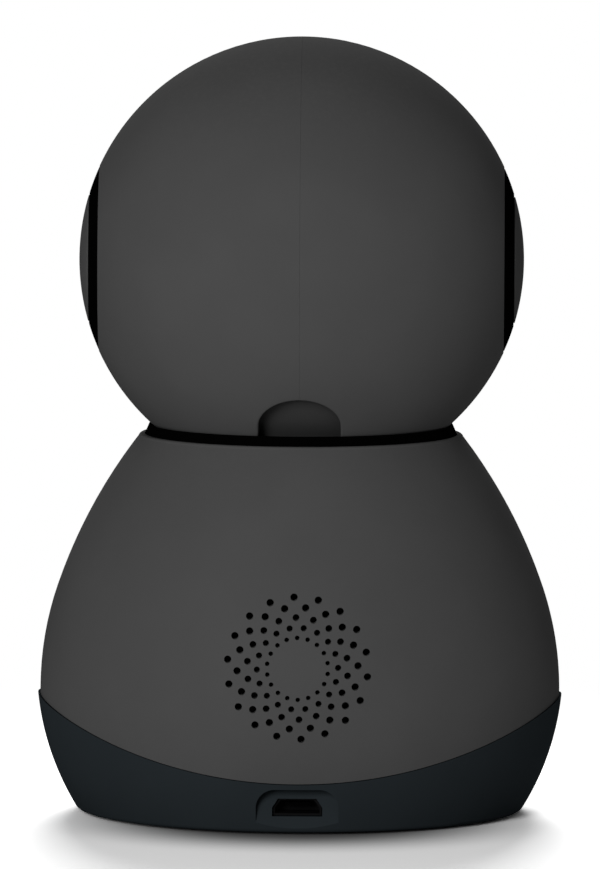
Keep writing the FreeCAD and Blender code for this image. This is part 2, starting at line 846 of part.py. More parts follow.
def chip(label, left, front, width, depth, high):
    """A component on the board, with a bevelled top edge."""
    item = Piece(label, (left, front, "board_high"))
    foot = item.page("XY_Plane")
    rectangle(foot, "0", "0", width, depth)
    item.pad(foot, high)
    item.dress("Chamfer", "Size", "chip_bevel", high)


def board_parts():
    chip("processor", "processor_left", "processor_front", "processor_width", "processor_width", "processor_high")
    chip("radio_can", "can_left", "can_front", "can_width", "can_depth", "can_high")
    tact = Piece("tact_switch")
    case = tact.page("XY_Plane", lift="board_low - tact_high")
    rectangle(case, "-tact_half", "-button_reach - tact_half", "tact_half", "tact_half - button_reach")
    tact.pad(case, "tact_high")
    stub = tact.page("XY_Plane", lift="board_low - tact_high - tact_travel")
    circle(stub, "tact_stub", "0", "-button_reach")
    tact.pad(stub, "2 * tact_travel")


def power_socket():
    """A socket of folded sheet with a plastic tongue, hung under the board."""
    shell = Piece("usb_shell")
    outside = shell.page("XZ_Plane", lift="socket_setback - recess_plane")
    lower, upper, foot = "(socket_half - socket_gap)", "(socket_half_top - socket_gap)", "(socket_low + fit_gap)"
    draw(outside, [
        (f"-{lower}", foot), (lower, foot), (lower, "socket_shoulder"),
        (upper, "board_low"), (f"-{upper}", "board_low"), (f"-{lower}", "socket_shoulder"),
    ])
    shell.pad(outside, "socket_length")
    mouth = shell.page("XZ_Plane", lift="socket_setback - recess_plane")
    draw(mouth, [
        (f"socket_sheet - {lower}", f"{foot} + socket_sheet"),
        (f"{lower} - socket_sheet", f"{foot} + socket_sheet"),
        (f"{lower} - socket_sheet", "socket_shoulder - fit_gap"),
        (f"{upper} - socket_sheet", "board_low - socket_sheet"),
        (f"socket_sheet - {upper}", "board_low - socket_sheet"),
        (f"socket_sheet - {lower}", "socket_shoulder - fit_gap"),
    ])
    shell.pocket(mouth, "socket_depth", reverse=True)
    tongue = Piece("usb_tongue")
    blade = tongue.page("XZ_Plane", lift="socket_setback + tongue_setback - recess_plane")
    rectangle(blade, "-tongue_half", "board_low - tongue_low", "tongue_half", "board_low - tongue_low + tongue_thick")
    tongue.pad(blade, "socket_depth - tongue_setback")


def speaker():
    """A round speaker. Its local z axis points out of the back of the body."""
    place = ("0", "speaker_face", "speaker_height")
    frame = Piece("speaker_frame", place, (1, 0, 0), "-90")
    profile = frame.page("XZ_Plane")
    draw(profile, [
        ("speaker_seat_bore", "0"),
        ("speaker_seat_bore - basket_play", "-basket_edge"),
        ("basket_foot", "-basket_inside"),
        ("0", "-basket_inside"),
        ("0", "-basket_depth"),
        ("basket_back", "-basket_depth"),
        ("speaker_seat_bore", "-basket_lip"),
        ("speaker_seat - basket_play", "-basket_flange"),
        ("speaker_seat - basket_play", "0"),
    ])
    frame.revolve(profile)
    magnet = Piece("speaker_magnet", place, (1, 0, 0), "-90")
    profile = magnet.page("XZ_Plane")
    draw(profile, [
        ("0", "-magnet_depth"),
        ("magnet_radius - magnet_bevel", "-magnet_depth"),
        ("magnet_radius", "magnet_bevel - magnet_depth"),
        ("magnet_radius", "-basket_depth"),
        ("0", "-basket_depth"),
    ])
    magnet.revolve(profile)
    cone = Piece("speaker_cone", place, (1, 0, 0), "-90")
    profile = cone.page("XZ_Plane")
    draw(profile, [
        ("0", "-cone_low"),
        ("cone_hub", "-cone_low"),
        ("cone_hub", "-cone_hub_top"),
        ("cone_edge", "-cone_edge_low"),
        ("cone_rim", "-cone_edge_high"),
        ("cone_rim", "-cone_rim_high"),
        ("cone_edge", "-cone_edge_high"),
        ("cone_hub", "-cone_shoulder"),
        ("dome_radius", "-dome_foot", "dome_radius * dome_bend", 1),
        ("0", "dome_radius * (dome_bend - sqrt(dome_bend^2 - 1)) - dome_foot"),
    ])
    cone.revolve(profile)


def bearing_deck():
    """The disc that carries the turntable and the pan motor."""
    deck = Piece("bearing_deck")
    profile = deck.page("XZ_Plane")
    draw(profile, [
        ("pan_hub + running_gap", "deck_low"),
        ("deck_radius", "deck_low"),
        ("deck_radius", "deck_high"),
        ("deck_bearing", "deck_high"),
        ("deck_bearing", "deck_bearing_high"),
        ("pan_hub + running_gap", "deck_bearing_high"),
    ])
    deck.revolve(profile)
    shaft = deck.page("XY_Plane", lift="deck_low")
    circle(shaft, "shaft_radius + deck_shaft_room", "0", f"-{PAN_DISTANCE}")
    deck.pocket(shaft, "deck_high - deck_low", reverse=True)
    drop = deck.page("XY_Plane", lift="deck_low + wall_bury")
    for side in ("ear_reach", "-ear_reach"):
        circle(drop, "ear_radius - motor_stand_trim", side, f"motor_offset - {PAN_DISTANCE}")
    deck.pad(drop, "deck_low + wall_bury - pan_motor_face", reverse=True)
    pilot = deck.page("XY_Plane", lift="pan_motor_face")
    for side in ("ear_reach", "-ear_reach"):
        circle(pilot, "ear_hole", side, f"motor_offset - {PAN_DISTANCE}")
    deck.pocket(pilot, "motor_pilot_depth", reverse=True)
    hole = deck.page("XY_Plane", lift="deck_low")
    circle(hole, "ear_hole + fit_gap", "0", "-deck_boss_reach")
    deck.spread([deck.pocket(hole, "deck_high - deck_low", reverse=True)], "3", hole)


def motor(label, place, axis, turn):
    """A geared motor. Its face is the local plane z = 0, and its shaft is off the can's axis."""
    unit = Piece(label, place, axis, turn)
    can = unit.page("XY_Plane")
    circle(can, "motor_radius")
    unit.pad(can, "motor_height", reverse=True)
    ears = unit.page("XY_Plane")
    draw(ears, [
        ("-ear_reach", "-ear_radius"),
        ("ear_reach", "-ear_radius", "ear_radius", 1),
        ("ear_reach + ear_radius", "0", "ear_radius", 1),
        ("ear_reach", "ear_radius"),
        ("-ear_reach", "ear_radius", "ear_radius", 1),
        ("-ear_reach - ear_radius", "0", "ear_radius", 1),
    ])
    unit.pad(ears, "ear_thick", reverse=True)
    boss = unit.page("XY_Plane")
    circle(boss, "motor_boss", "0", "motor_offset")
    unit.pad(boss, "motor_boss_height")
    bore = unit.page("XY_Plane", lift="motor_boss_height")
    circle(bore, "shaft_radius + shaft_play", "0", "motor_offset")
    unit.pocket(bore, "motor_boss_height")
    holes = unit.page("XY_Plane")
    for side in ("ear_reach", "-ear_reach"):
        circle(holes, "ear_hole + fit_gap", side, "0")
    unit.pocket(holes, "ear_thick")
    plug = unit.page("XY_Plane", lift="-plug_drop")
    rectangle(plug, "-plug_half", "-motor_radius - plug_reach", "plug_half", "0")
    unit.pad(plug, "plug_length", reverse=True)


def involute(alpha):
    """The involute of an angle, in degrees."""
    return f"(tan({alpha}) * 180 / pi - ({alpha}) / 1deg)"


def gear(label, place, teeth, addendum, dedendum, axis, turn, start="0"):
    """A spur gear from z = 0 up. Each tooth has involute flanks, and the first one points at start."""
    wheel = Piece(label, place, axis, turn)
    pitch = f"(gear_module * {teeth} / 2)"
    base = f"({pitch} * cos(pressure_angle))"
    root = f"({pitch} - {dedendum})"
    tip = f"({pitch} + {addendum})"
    blank = wheel.page("XY_Plane")
    circle(blank, root)
    wheel.pad(blank, "gear_width")

    def half_angle(radius):
        if size_of(radius) <= size_of(base):
            slope = "0"
        else:
            slope = involute(f"acos({base} / {radius})")
        thick = f"((pi * gear_module / 2 - tooth_play) / {pitch} * 90 / pi)"
        return f"({thick} + {involute('pressure_angle')} - {slope})".replace("(pressure_angle) / 1deg", "pressure_angle")

    below = f"({root} - tooth_bury)"
    stops = [below, f"({pitch} + {addendum} / 2)", tip]
    stops.insert(1, base if size_of(base) > size_of(root) else pitch)
    if size_of(base) > size_of(root):
        stops.insert(2, pitch)
    flank = [(radius, half_angle(radius)) for radius in stops]
    corners = [(radius, f"({start} + {angle})") for radius, angle in reversed(flank)]
    corners = [(radius, f"({start} - {angle})") for radius, angle in flank] + corners
    tooth = wheel.page("XY_Plane")
    draw(tooth, [(f"{radius} * cos({angle})", f"{radius} * sin({angle})") for radius, angle in corners])
    wheel.spread([wheel.pad(tooth, "gear_width")], teeth, tooth)
    return wheel


def bored(wheel, radius):
    hole = wheel.page("XY_Plane")
    circle(hole, radius)
    wheel.pocket(hole, "gear_width", reverse=True)


def shafted(wheel, length):
    shaft = wheel.page("XY_Plane")
    circle(shaft, "shaft_radius")
    wheel.pad(shaft, length, reverse=True)


def pan_drive():
    motor("pan_motor", ("0", f"motor_offset - {PAN_DISTANCE}", "pan_motor_face"), (0, 0, 1), "180")
    for number, side in enumerate(("ear_reach", "-ear_reach"), start=1):
        place = (side, f"motor_offset - {PAN_DISTANCE}", "pan_motor_face - ear_thick")
        screw(f"pan_motor_screw_{number}", place, "ear_hole", "motor_screw_length", (1, 0, 0), "180")
    wheel = gear("pan_gear", ("0", "0", "wheel_top - gear_width"), "pan_teeth", "wheel_addendum",
                 "wheel_dedendum", (0, 0, 1), "0")
    bored(wheel, "pan_hub")
    pinion = gear("pan_pinion", ("0", f"-{PAN_DISTANCE}", "wheel_top - gear_width"), "pinion_teeth",
                  "pinion_addendum", "pinion_dedendum", (0, 0, 1), "0", start="180 / pinion_teeth")
    shafted(pinion, "pan_shaft")


def turntable():
    """The dished disc under the head, with the hub that turns in the deck."""
    table = Piece("turntable")
    profile = table.page("XZ_Plane")
    draw(profile, [
        ("neck_foot + running_gap", "pan_hub_end"),
        ("pan_hub", "pan_hub_end"),
        ("pan_hub", "groove_low"),
        ("groove_radius", "groove_low"),
        ("groove_radius", "groove_high"),
        ("pan_hub", "groove_high"),
        ("pan_hub", "wheel_top"),
        ("table_foot", "wheel_top"),
        ("dish_radius", "dish_rim"),
        ("dish_radius", under_head("dish_radius", "dish_gap"), "head_radius + dish_gap", -1),
        ("neck_radius + running_gap", under_head("(neck_radius + running_gap)", "dish_gap")),
        ("neck_radius + running_gap", "neck_step"),
        ("neck_foot + running_gap", "neck_step"),
    ])
    table.revolve(profile)
    clip = Piece("turntable_clip")
    ring = clip.page("XY_Plane", lift="groove_low + running_gap")
    circle(ring, "clip_radius")
    circle(ring, "groove_radius")
    clip.pad(ring, "groove_high - groove_low - 2 * running_gap")
    opening = clip.page("XY_Plane", lift="groove_low")
    rectangle(opening, "-clip_mouth", "0", "clip_mouth", "2 * pan_hub")
    clip.pocket(opening, "groove_high - groove_low", reverse=True)


def yoke():
    """The fork inside the head: a neck, a bridge and two arms, one widened to carry the tilt motor."""
    fork = Piece("yoke", ("0", "0", "head_height"))
    inside = "(arm_face - arm_thick)"
    outline = [
        ("bridge_half", "-bridge_top - bridge_thick"),
        ("arm_face", "-arm_foot"),
        (inside, "-arm_foot"),
        (f"{inside} - arm_toe", "-bridge_top"),
    ]
    bridge = fork.page("XZ_Plane")
    draw(bridge, outline + [(f"-({across})", up) for across, up in reversed(outline)])
    fork.pad(bridge, "2 * arm_half", both=True)
    crown_low = "-" + circle_height("arm_crown", "arm_half")
    for inner in ("arm_face - arm_thick", "-arm_face"):
        arm = fork.page("YZ_Plane", lift=inner)
        draw(arm, [
            ("-arm_half", "-arm_foot - wall_bury"),
            ("arm_half", "-arm_foot - wall_bury"),
            ("arm_half", crown_low, "arm_crown", 1),
            ("0", "arm_crown", "arm_crown", 1),
            ("-arm_half", crown_low),
        ])
        fork.pad(arm, "arm_thick")
    plate = fork.page("YZ_Plane", lift="arm_face - arm_thick")
    draw(plate, [
        ("0", "-ear_reach - ear_radius"),
        ("plate_near", "-ear_reach - ear_radius"),
        ("plate_far", "-plate_flat"),
        ("plate_far", "plate_flat"),
        ("plate_near", "ear_reach + ear_radius"),
        ("0", "ear_reach + ear_radius"),
    ])
    fork.pad(plate, "arm_thick")
    brace = [
        (f"{inside} - web_reach", "-bridge_top"),
        (f"{inside} - arm_toe", "-bridge_top"),
        (inside, "-arm_foot"),
        (inside, "web_reach - bridge_top"),
    ]
    for corners in (brace, [(f"-({across})", up) for across, up in reversed(brace)]):
        web = fork.page("XZ_Plane")
        draw(web, corners)
        fork.pad(web, "bridge_thick", both=True)
    neck = fork.page("XY_Plane", lift="-bridge_top - bridge_thick")
    circle(neck, "neck_radius")
    fork.pad(neck, "head_height - neck_step - bridge_top - bridge_thick", reverse=True)
    foot = fork.page("XY_Plane", lift="neck_step - head_height")
    circle(foot, "neck_foot")
    fork.pad(foot, "neck_step - neck_end", reverse=True)
    cable = fork.page("XY_Plane", lift="-bridge_top")
    circle(cable, "neck_bore")
    fork.pocket(cable, FAR)
    pivots = fork.page("YZ_Plane")
    circle(pivots, "pivot_screw")
    for side in ("key_reach", "-key_reach"):
        circle(pivots, "key_radius + running_gap", side, "0")
    fork.pocket(pivots, "4 * arm_face", both=True)
    mount = fork.page("YZ_Plane", lift="arm_face")
    circle(mount, "motor_boss + fit_gap", TILT_DISTANCE, "0")
    for side in ("ear_reach", "-ear_reach"):
        circle(mount, "ear_hole", f"{TILT_DISTANCE} - motor_offset", side)
    fork.pocket(mount, "arm_thick")


def slot_shield():
    """A curved strip inside the head that closes the slot round the neck."""
    shield = Piece("slot_shield", ("0", "0", "head_height"))
    middle = "(shield_rear - shield_front) / 2"
    strip = shield.page("XZ_Plane", turn=middle)
    inner = "(shield_radius - shield_thick)"
    draw(strip, [
        ("-shield_half", "-" + circle_height("shield_radius", "shield_half"), "shield_radius", 1),
        ("shield_half", "-" + circle_height("shield_radius", "shield_half")),
        ("shield_half", "-" + circle_height(inner, "shield_half"), inner, -1),
        ("-shield_half", "-" + circle_height(inner, "shield_half")),
    ])
    shield.revolve(strip, "H_Axis", "shield_front + shield_rear", both=True)
    boss = shield.page("XY_Plane", lift="-shield_boss_foot")
    circle(boss, "shield_boss")
    shield.pad(boss, "shield_boss_foot - bridge_top - bridge_thick")
    bore = shield.page("XY_Plane", lift="-head_radius")
    circle(bore, "neck_radius + running_gap")
    shield.pocket(bore, FAR, reverse=True)


def pivots():
    """On each side a black trunnion that the head turns on, with a screw and a grey cap."""
    for side, turn in (("right", "0"), ("left", "180")):
        place = ("0", "0", "head_height")
        trunnion = Piece(f"trunnion_{side}", place, (0, 0, 1), turn)
        profile = trunnion.page("XY_Plane")
        flange = "(side_plane + side_gap)"
        draw(profile, [
            ("arm_face", "pivot_screw + running_gap"),
            ("pivot_sink_floor", "pivot_screw + running_gap"),
            ("pivot_sink_floor", "pivot_sink"),
            ("band_end", "pivot_sink"),
            ("band_end", circle_height("band_radius", "band_end"), "band_radius", 1),
            (flange, circle_height("band_radius", flange)),
            (flange, "journal_radius"),
            ("arm_face", "journal_radius"),
        ])
        trunnion.revolve(profile, "H_Axis")
        keys = trunnion.page("YZ_Plane", lift="arm_face")
        for reach in ("key_reach", "-key_reach"):
            circle(keys, "key_radius", reach, "0")
        trunnion.pad(keys, "key_length", reverse=True)
        cap = Piece(f"ear_cap_{side}", place, (0, 0, 1), turn)
        profile = cap.page("XY_Plane")
        draw(profile, [
            ("band_end - cap_thick", "0"),
            ("head_radius", "0", "head_radius", 1),
            ("band_end", circle_height("head_radius", "band_end")),
            ("band_end", "pivot_sink - fit_gap"),
            ("band_end - cap_thick", "pivot_sink - fit_gap"),
        ])
        cap.revolve(profile, "H_Axis")
        across, tilt = ("pivot_sink_floor", "90") if side == "right" else ("-pivot_sink_floor", "-90")
        screw(f"pivot_screw_{side}", (across, "0", "head_height"), "pivot_screw",
              "pivot_sink_floor - arm_face + arm_thick - pivot_screw_short", (0, 1, 0), tilt,
              head="pivot_sink - 2 * fit_gap", high="pivot_head_high")


def tilt_drive():
    offset = f"{TILT_DISTANCE} - motor_offset"
    motor("tilt_motor", ("arm_face - arm_thick", offset, "head_height"), (0, 1, 0), "90")
    for number, side in enumerate(("ear_reach", "-ear_reach"), start=1):
        place = ("arm_face - arm_thick - ear_thick", offset, f"head_height + {side}")
        screw(f"tilt_motor_screw_{number}", place, "ear_hole", "motor_screw_length", (0, 1, 0), "-90")
    inner = "arm_face + gear_clear"
    wheel = gear("tilt_gear", (inner, "0", "head_height"), "tilt_teeth", "wheel_addendum",
                 "wheel_dedendum", (0, 1, 0), "90", start="90")
    bored(wheel, "hub_radius")
    pinion = gear("tilt_pinion", (inner, TILT_DISTANCE, "head_height"), "pinion_teeth",
                  "pinion_addendum", "pinion_dedendum", (0, 1, 0), "90", start="180 / pinion_teeth")
    shafted(pinion, "tilt_shaft")


def head_shell(side, front):
    """Half of the head, made with its outer side towards its own +X. The face is towards front."""
    half = Piece(f"head_shell_{side}", ("0", "0", "head_height"), (0, 0, 1), "0" if side == "right" else "180")
    inner = "(head_radius - head_wall)"
    floor = "(side_plane - head_wall)"
    rough = "(head_radius + rough_skin)"
    wall = half.page("XY_Plane")
    draw(wall, [
        ("0", inner, inner, -1),
        (floor, circle_height(inner, floor)),
        (floor, "hub_radius"),
        ("hub_end", "hub_radius"),
        ("hub_end", "journal_radius + running_gap"),
        ("side_plane", "journal_radius + running_gap"),
        ("side_plane", circle_height(rough, "side_plane"), rough, 1),
        ("0", rough),
    ])
    half.revolve(wall, "H_Axis")

    posts = (f"{-front} * post_reach * sin(post_rear_angle)", "post_reach * cos(post_rear_angle)"), \
            (f"{front} * post_reach * sin(post_front_angle)", "post_reach * cos(post_front_angle)")
    column = half.page("YZ_Plane")
    for across, up in posts:
        circle(column, "post_radius", across, up)
    half.pad(column, "post_length")
    dowel = half.page("YZ_Plane")
    for across, up in posts:
        circle(dowel, "pin_radius" if side == "left" else "pin_radius + running_gap", across, up)
    if side == "left":
        half.pad(dowel, "pin_length", reverse=True)
    else:
        half.pocket(dowel, "pin_length + pin_room", reverse=True)

    flange = half.page("YZ_Plane")
    back = "(face_seat - carrier_thick)"
    rear = "(face_seat - carrier_thick - face_flange_thick)"
    outer = "(head_radius - face_flange_inset)"
    corners = [
        (f"{front} * {back}", "face_flange_bore"),
        (f"{front} * {back}", circle_height(outer, back)),
        (f"{front} * {rear}", circle_height(outer, rear)),
        (f"{front} * {rear}", "face_flange_bore"),
    ]
    draw(flange, corners)
    half.revolve(flange, "H_Axis", "face_flange_sweep")

    skin = half.page("XY_Plane")
    draw(skin, [
        ("0", "head_radius", "head_radius", -1),
        ("side_plane + rough_skin", circle_height("head_radius", "(side_plane + rough_skin)")),
        ("side_plane + rough_skin", FAR),
        ("0", FAR),
    ])
    half.groove(skin, "H_Axis")

    toward = front > 0
    for reach, radius in (("face_plane", "head_radius"), ("face_seat", "rebate_radius")):
        opening = half.page("XZ_Plane", lift=f"{-front} * {reach}")
        circle(opening, radius)
        half.pocket(opening, "head_radius", reverse=not toward)
    rear_turn, front_turn = f"{-front} * slot_rear", f"{front} * slot_front"
    span = half.page("XZ_Plane", turn=f"{-front} * (slot_rear - slot_front) / 2")
    rectangle(span, "-rough_skin", "-head_radius - rough_skin", "slot_half", "head_wall + rough_skin - head_radius")
    half.groove(span, "H_Axis", "slot_rear + slot_front", both=True)
    for turn in (rear_turn, front_turn):
        end = half.page("XY_Plane", turn=turn)
        circle(end, "slot_half")
        half.pocket(end, FAR)


def camera_place():
    """Where the camera's pieces are: at the head's centre, with their z axis out through the face."""
    return ("0", "0", "head_height"), (1, 0, 0), "90"


def camera_spots(sketch, radius):
    """The six lamps' places and the light sensor's."""
    for number in range(6):
        circle(sketch, radius, f"lamp_reach * cos({number} * 60)", f"lamp_reach * sin({number} * 60)")
    circle(sketch, radius, "0", "lamp_reach")


def camera():
    carrier = Piece("face_carrier", *camera_place())
    disc = carrier.page("XY_Plane", lift="face_seat - carrier_thick")
    circle(disc, "window_rim + carrier_margin")
    circle(disc, "lens_radius + 2 * fit_gap")
    camera_spots(disc, "lamp_radius + lamp_room")
    carrier.pad(disc, "carrier_thick")
    legs = carrier.page("XY_Plane", lift="camera_board_front")
    for across in ("leg_across", "-leg_across"):
        for up in ("leg_up", "-leg_up"):
            circle(legs, "leg_radius", across, up)
    carrier.pad(legs, "face_seat - carrier_thick - camera_board_front + wall_bury")

    window = Piece("face_window", *camera_place())
    profile = window.page("XZ_Plane")
    centre = "(face_plane - sqrt(window_dome^2 - window_radius^2))"
    inner = "(window_dome - window_wall)"
    draw(profile, [
        ("window_rim", "face_seat"),
        ("window_radius", "face_seat"),
        ("window_radius", "face_plane", "window_dome", 1),
        ("window_bore", f"{centre} + sqrt(window_dome^2 - window_bore^2)"),
        ("window_bore", f"{centre} + sqrt({inner}^2 - window_bore^2)", inner, -1),
        ("window_rim", f"{centre} + sqrt({inner}^2 - window_rim^2)"),
    ])
    window.revolve(profile)

    board = Piece("camera_board", *camera_place())
    plate = board.page("XY_Plane", lift="camera_board_back")
    wide, high, cut = "camera_board_half_width", "camera_board_half_height", "camera_board_corner"
    draw(plate, [
        (f"{cut} - {wide}", f"-{high}"), (f"{wide} - {cut}", f"-{high}"),
        (wide, f"{cut} - {high}"), (wide, f"{high} - {cut}"),
        (f"{wide} - {cut}", high), (f"{cut} - {wide}", high),
        (f"-{wide}", f"{high} - {cut}"), (f"-{wide}", f"{cut} - {high}"),
    ])
    board.pad(plate, "camera_board_front - camera_board_back")

    barrel = Piece("lens_barrel", *camera_place())
    profile = barrel.page("XZ_Plane")
    draw(profile, [
        ("0", "camera_board_front"),
        ("lens_radius", "camera_board_front"),
        ("lens_radius", "lens_front"),
        ("0", "lens_front"),
    ])
    barrel.revolve(profile)
    ring = Piece("lens_ring", *camera_place())
    profile = ring.page("XZ_Plane")
    draw(profile, [
        ("ring_bore", "lens_front"),
        ("ring_radius", "lens_front"),
        ("ring_radius", "ring_front - ring_bevel"),
        ("ring_radius - ring_bevel", "ring_front"),
        ("ring_bore + ring_land", "ring_front"),
        ("ring_bore", "ring_front - ring_throat"),
    ])
    ring.revolve(profile)
    glass = Piece("lens_glass", *camera_place())
    profile = glass.page("XZ_Plane")
    draw(profile, [
        ("0", "lens_front"),
        ("glass_radius", "lens_front"),
        ("glass_radius", "lens_front + glass_edge", "glass_radius * glass_bend", 1),
        ("0", "lens_front + glass_edge + glass_radius * (glass_bend - sqrt(glass_bend^2 - 1))"),
    ])
    glass.revolve(profile)
    for number in range(6):
        lamp("ir_lamp_" + str(number + 1), f"({number} * 60)")
    lamp("light_sensor", "90")


def lamp(label, angle):
    """A small domed part that stands on the camera board."""
    item = Piece(label, *camera_place())
    stem = item.page("XY_Plane", lift="camera_board_front")
    circle(stem, "lamp_radius", f"lamp_reach * cos({angle})", f"lamp_reach * sin({angle})")
    item.pad(stem, "lamp_high")
    item.dress("Fillet", "Radius", "lamp_round", "camera_board_front + lamp_high")


def reset_button():
    """The plunger in the floor. Its flange holds it in, and its stem presses the switch."""
    button = Piece("reset_button", ("0", "-button_reach", "0"))
    profile = button.page("XZ_Plane")
    draw(profile, [
        ("0", "cradle_low + button_sink"),
        ("button_radius", "cradle_low + button_sink"),
        ("button_radius", "cradle_floor + fit_gap"),
        ("button_flange", "cradle_floor + fit_gap"),
        ("button_flange", "cradle_floor + button_flange_top"),
        ("button_stem", "cradle_floor + button_flange_top"),
        ("button_stem", "button_top"),
        ("0", "button_top"),
    ])
    button.revolve(profile)


def check_document():
    """Stop when a feature failed, took nothing away or left a shape that isn't one solid."""
    faults = []
    for item in doc.Objects:
        if {"Invalid", "Error"} & set(item.State):
            faults.append(f"{item.Name}: {item.State}")
        if item.TypeId in ("PartDesign::Pocket", "PartDesign::Groove") and not item.Shape.isNull():
            if item.BaseFeature.Shape.Volume - item.Shape.Volume < 1e-3:
                faults.append(f"{item.Name} takes nothing away")
    for piece in Piece.made:
        shape = piece.body.Shape
        if shape.isNull() or not shape.isValid() or len(shape.Solids) != 1:
            faults.append(f"{piece.body.Label} is not one valid solid")
    if faults:
        raise SystemExit("\n".join(faults))


def build():
    fill_sheet()
    body_shell()
    lower_cradle()
    neck_collar()
    rubber_feet()
    base_screws()
    tripod_insert()
    main_board()
    board_parts()
    power_socket()
    speaker()
    bearing_deck()
    deck_screws()
    pan_drive()
    turntable()
    yoke()
    slot_shield()
    pivots()
    tilt_drive()
    head_shell("right", -1)
    head_shell("left", 1)
    camera()
    reset_button()
    doc.recompute()


build()
check_document()
os.makedirs("parts", exist_ok=True)
for piece in Piece.made:
    piece.body.Shape.exportStep(f"parts/{piece.body.Label}.step")
    bounds = piece.body.Shape.BoundBox
    print(f"{piece.body.Label}: {piece.body.Shape.Volume:.1f} mm3, "
          f"x {bounds.XMin:.2f} {bounds.XMax:.2f}, y {bounds.YMin:.2f} {bounds.YMax:.2f}, "
          f"z {bounds.ZMin:.2f} {bounds.ZMax:.2f}")
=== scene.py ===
"""A pan and tilt baby monitor, dressed for rendering.

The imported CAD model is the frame. This file adds the camera, the floor, the light, the finishes and the
pieces whose fine shape a picture shows: soft edges, a thread, contacts, rings on rubber.
Every length below is in millimetres and becomes metres only where a mesh, lamp or camera takes it.
"""

# %% [markdown]
# # The frame
# The solids of the monitor are loaded first and never moved. Each of them rides on a body: the base, the
# carriage that pans, the head that tilts. New pieces could be drawn freely and fitted to the solids by eye.
# Here they are placed by the same numbers as the solids, so nothing has to be fitted.

import json
import math

import bmesh
import bpy
import numpy as np
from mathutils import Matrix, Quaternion, Vector


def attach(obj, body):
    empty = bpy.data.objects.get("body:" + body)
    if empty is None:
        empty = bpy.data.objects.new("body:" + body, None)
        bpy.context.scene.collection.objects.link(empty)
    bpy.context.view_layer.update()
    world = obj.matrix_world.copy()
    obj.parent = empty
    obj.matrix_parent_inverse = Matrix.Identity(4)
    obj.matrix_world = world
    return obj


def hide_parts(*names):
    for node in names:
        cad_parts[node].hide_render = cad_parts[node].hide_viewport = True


MM = 0.001
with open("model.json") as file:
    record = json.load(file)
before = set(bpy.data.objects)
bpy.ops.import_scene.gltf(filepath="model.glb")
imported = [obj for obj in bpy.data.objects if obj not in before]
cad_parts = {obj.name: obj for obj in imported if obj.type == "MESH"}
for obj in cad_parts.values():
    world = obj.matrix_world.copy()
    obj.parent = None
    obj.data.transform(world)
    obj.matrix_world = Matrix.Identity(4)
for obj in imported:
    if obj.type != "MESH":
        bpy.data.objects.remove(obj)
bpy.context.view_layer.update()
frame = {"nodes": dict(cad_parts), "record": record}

# %% [markdown]
# # The camera
# The photograph was taken from behind, a little above the table, with a long lens, so the sides hardly
# converge. A short lens would swell the body and an orthographic one would be too flat, so a lens of nearly
# 600 mm stands over two metres away. The body is turned about one degree in the photograph while the head
# isn't, and the camera stands half a degree to the side, between the two. The picture leans by a quarter of
# a degree, so the camera is rolled by that much.

# %% Place the camera
CAMERA_DISTANCE, CAMERA_HEIGHT = 2200, 250
CAMERA_SIDE_TURN = math.radians(-0.55)
CAMERA_ROLL = math.radians(0.25)
AIM_SIDE, AIM_HEIGHT = 0.15, 59.5
FRAME_HEIGHT = 136.8
SENSOR = 36

lens_data = bpy.data.cameras.new("camera")
camera = bpy.data.objects.new("camera", lens_data)
bpy.context.scene.collection.objects.link(camera)
camera_place = Vector((
    CAMERA_DISTANCE * math.sin(CAMERA_SIDE_TURN) + AIM_SIDE,
    CAMERA_DISTANCE * math.cos(CAMERA_SIDE_TURN),
    CAMERA_HEIGHT,
)) * MM
aim = Vector((AIM_SIDE, 0, AIM_HEIGHT)) * MM
camera.location = camera_place
roll = Quaternion((0, 0, 1), CAMERA_ROLL)
camera.rotation_euler = ((aim - camera_place).to_track_quat("-Z", "Y") @ roll).to_euler()
lens_data.sensor_width = SENSOR
lens_data.lens = SENSOR * (aim - camera_place).length / (FRAME_HEIGHT * MM)
bpy.context.scene.camera = camera
print("lens in mm:", round(lens_data.lens, 1))

# %% [markdown]
# # Nodes in few words
# Every finish below is a network of shader nodes. It could be wired by hand in the shader editor, but code
# can be read, repeated and sized in millimetres. One helper adds a node with its settings and inputs, the
# others a step of arithmetic, a range or a mix. An input is a number or another node's output.


# %% Helpers for nodes
def add_node(tree, kind, inputs=None, **settings):
    """Adds a node. Its settings are attributes; its inputs are numbers, colours or other nodes' outputs."""
    node = tree.nodes.new(kind)
    for name, value in settings.items():
        setattr(node, name, value)
    for name, value in (inputs or {}).items():
        if isinstance(value, bpy.types.NodeSocket):
            tree.links.new(value, node.inputs[name])
        else:
            node.inputs[name].default_value = value
    return node


def reckon(tree, operation, first, second=0.0, third=0.0):
    """One step of arithmetic on two values, or on three: the operation's result."""
    inputs = {0: first, 1: second, 2: third}
    return add_node(tree, "ShaderNodeMath", inputs, operation=operation).outputs[0]


def between(tree, value, low, high, to_low=0.0, to_high=1.0):
    """The value carried smoothly from one range to another and held at its ends."""
    inputs = {"Value": value, "From Min": low, "From Max": high, "To Min": to_low, "To Max": to_high}
    return add_node(tree, "ShaderNodeMapRange", inputs, interpolation_type="SMOOTHSTEP").outputs["Result"]


def reckon_vector(tree, operation, first, second=(0, 0, 0), output=0):
    """One step of arithmetic on vectors: output 0 is the resulting vector, 1 the resulting number."""
    inputs = {0: first, 1: second}
    return add_node(tree, "ShaderNodeVectorMath", inputs, operation=operation).outputs[output]


def mix_colours(tree, share, first, second):
    """The first colour where the share is 0, the second where it is 1."""
    return add_node(tree, "ShaderNodeMix", {0: share, 6: first, 7: second}, data_type="RGBA").outputs[2]


# %% Colours as they are seen
TOE_END, TOE_SLOPE, KNEE, GAMMA = 0.04045, 12.92, 0.055, 2.4


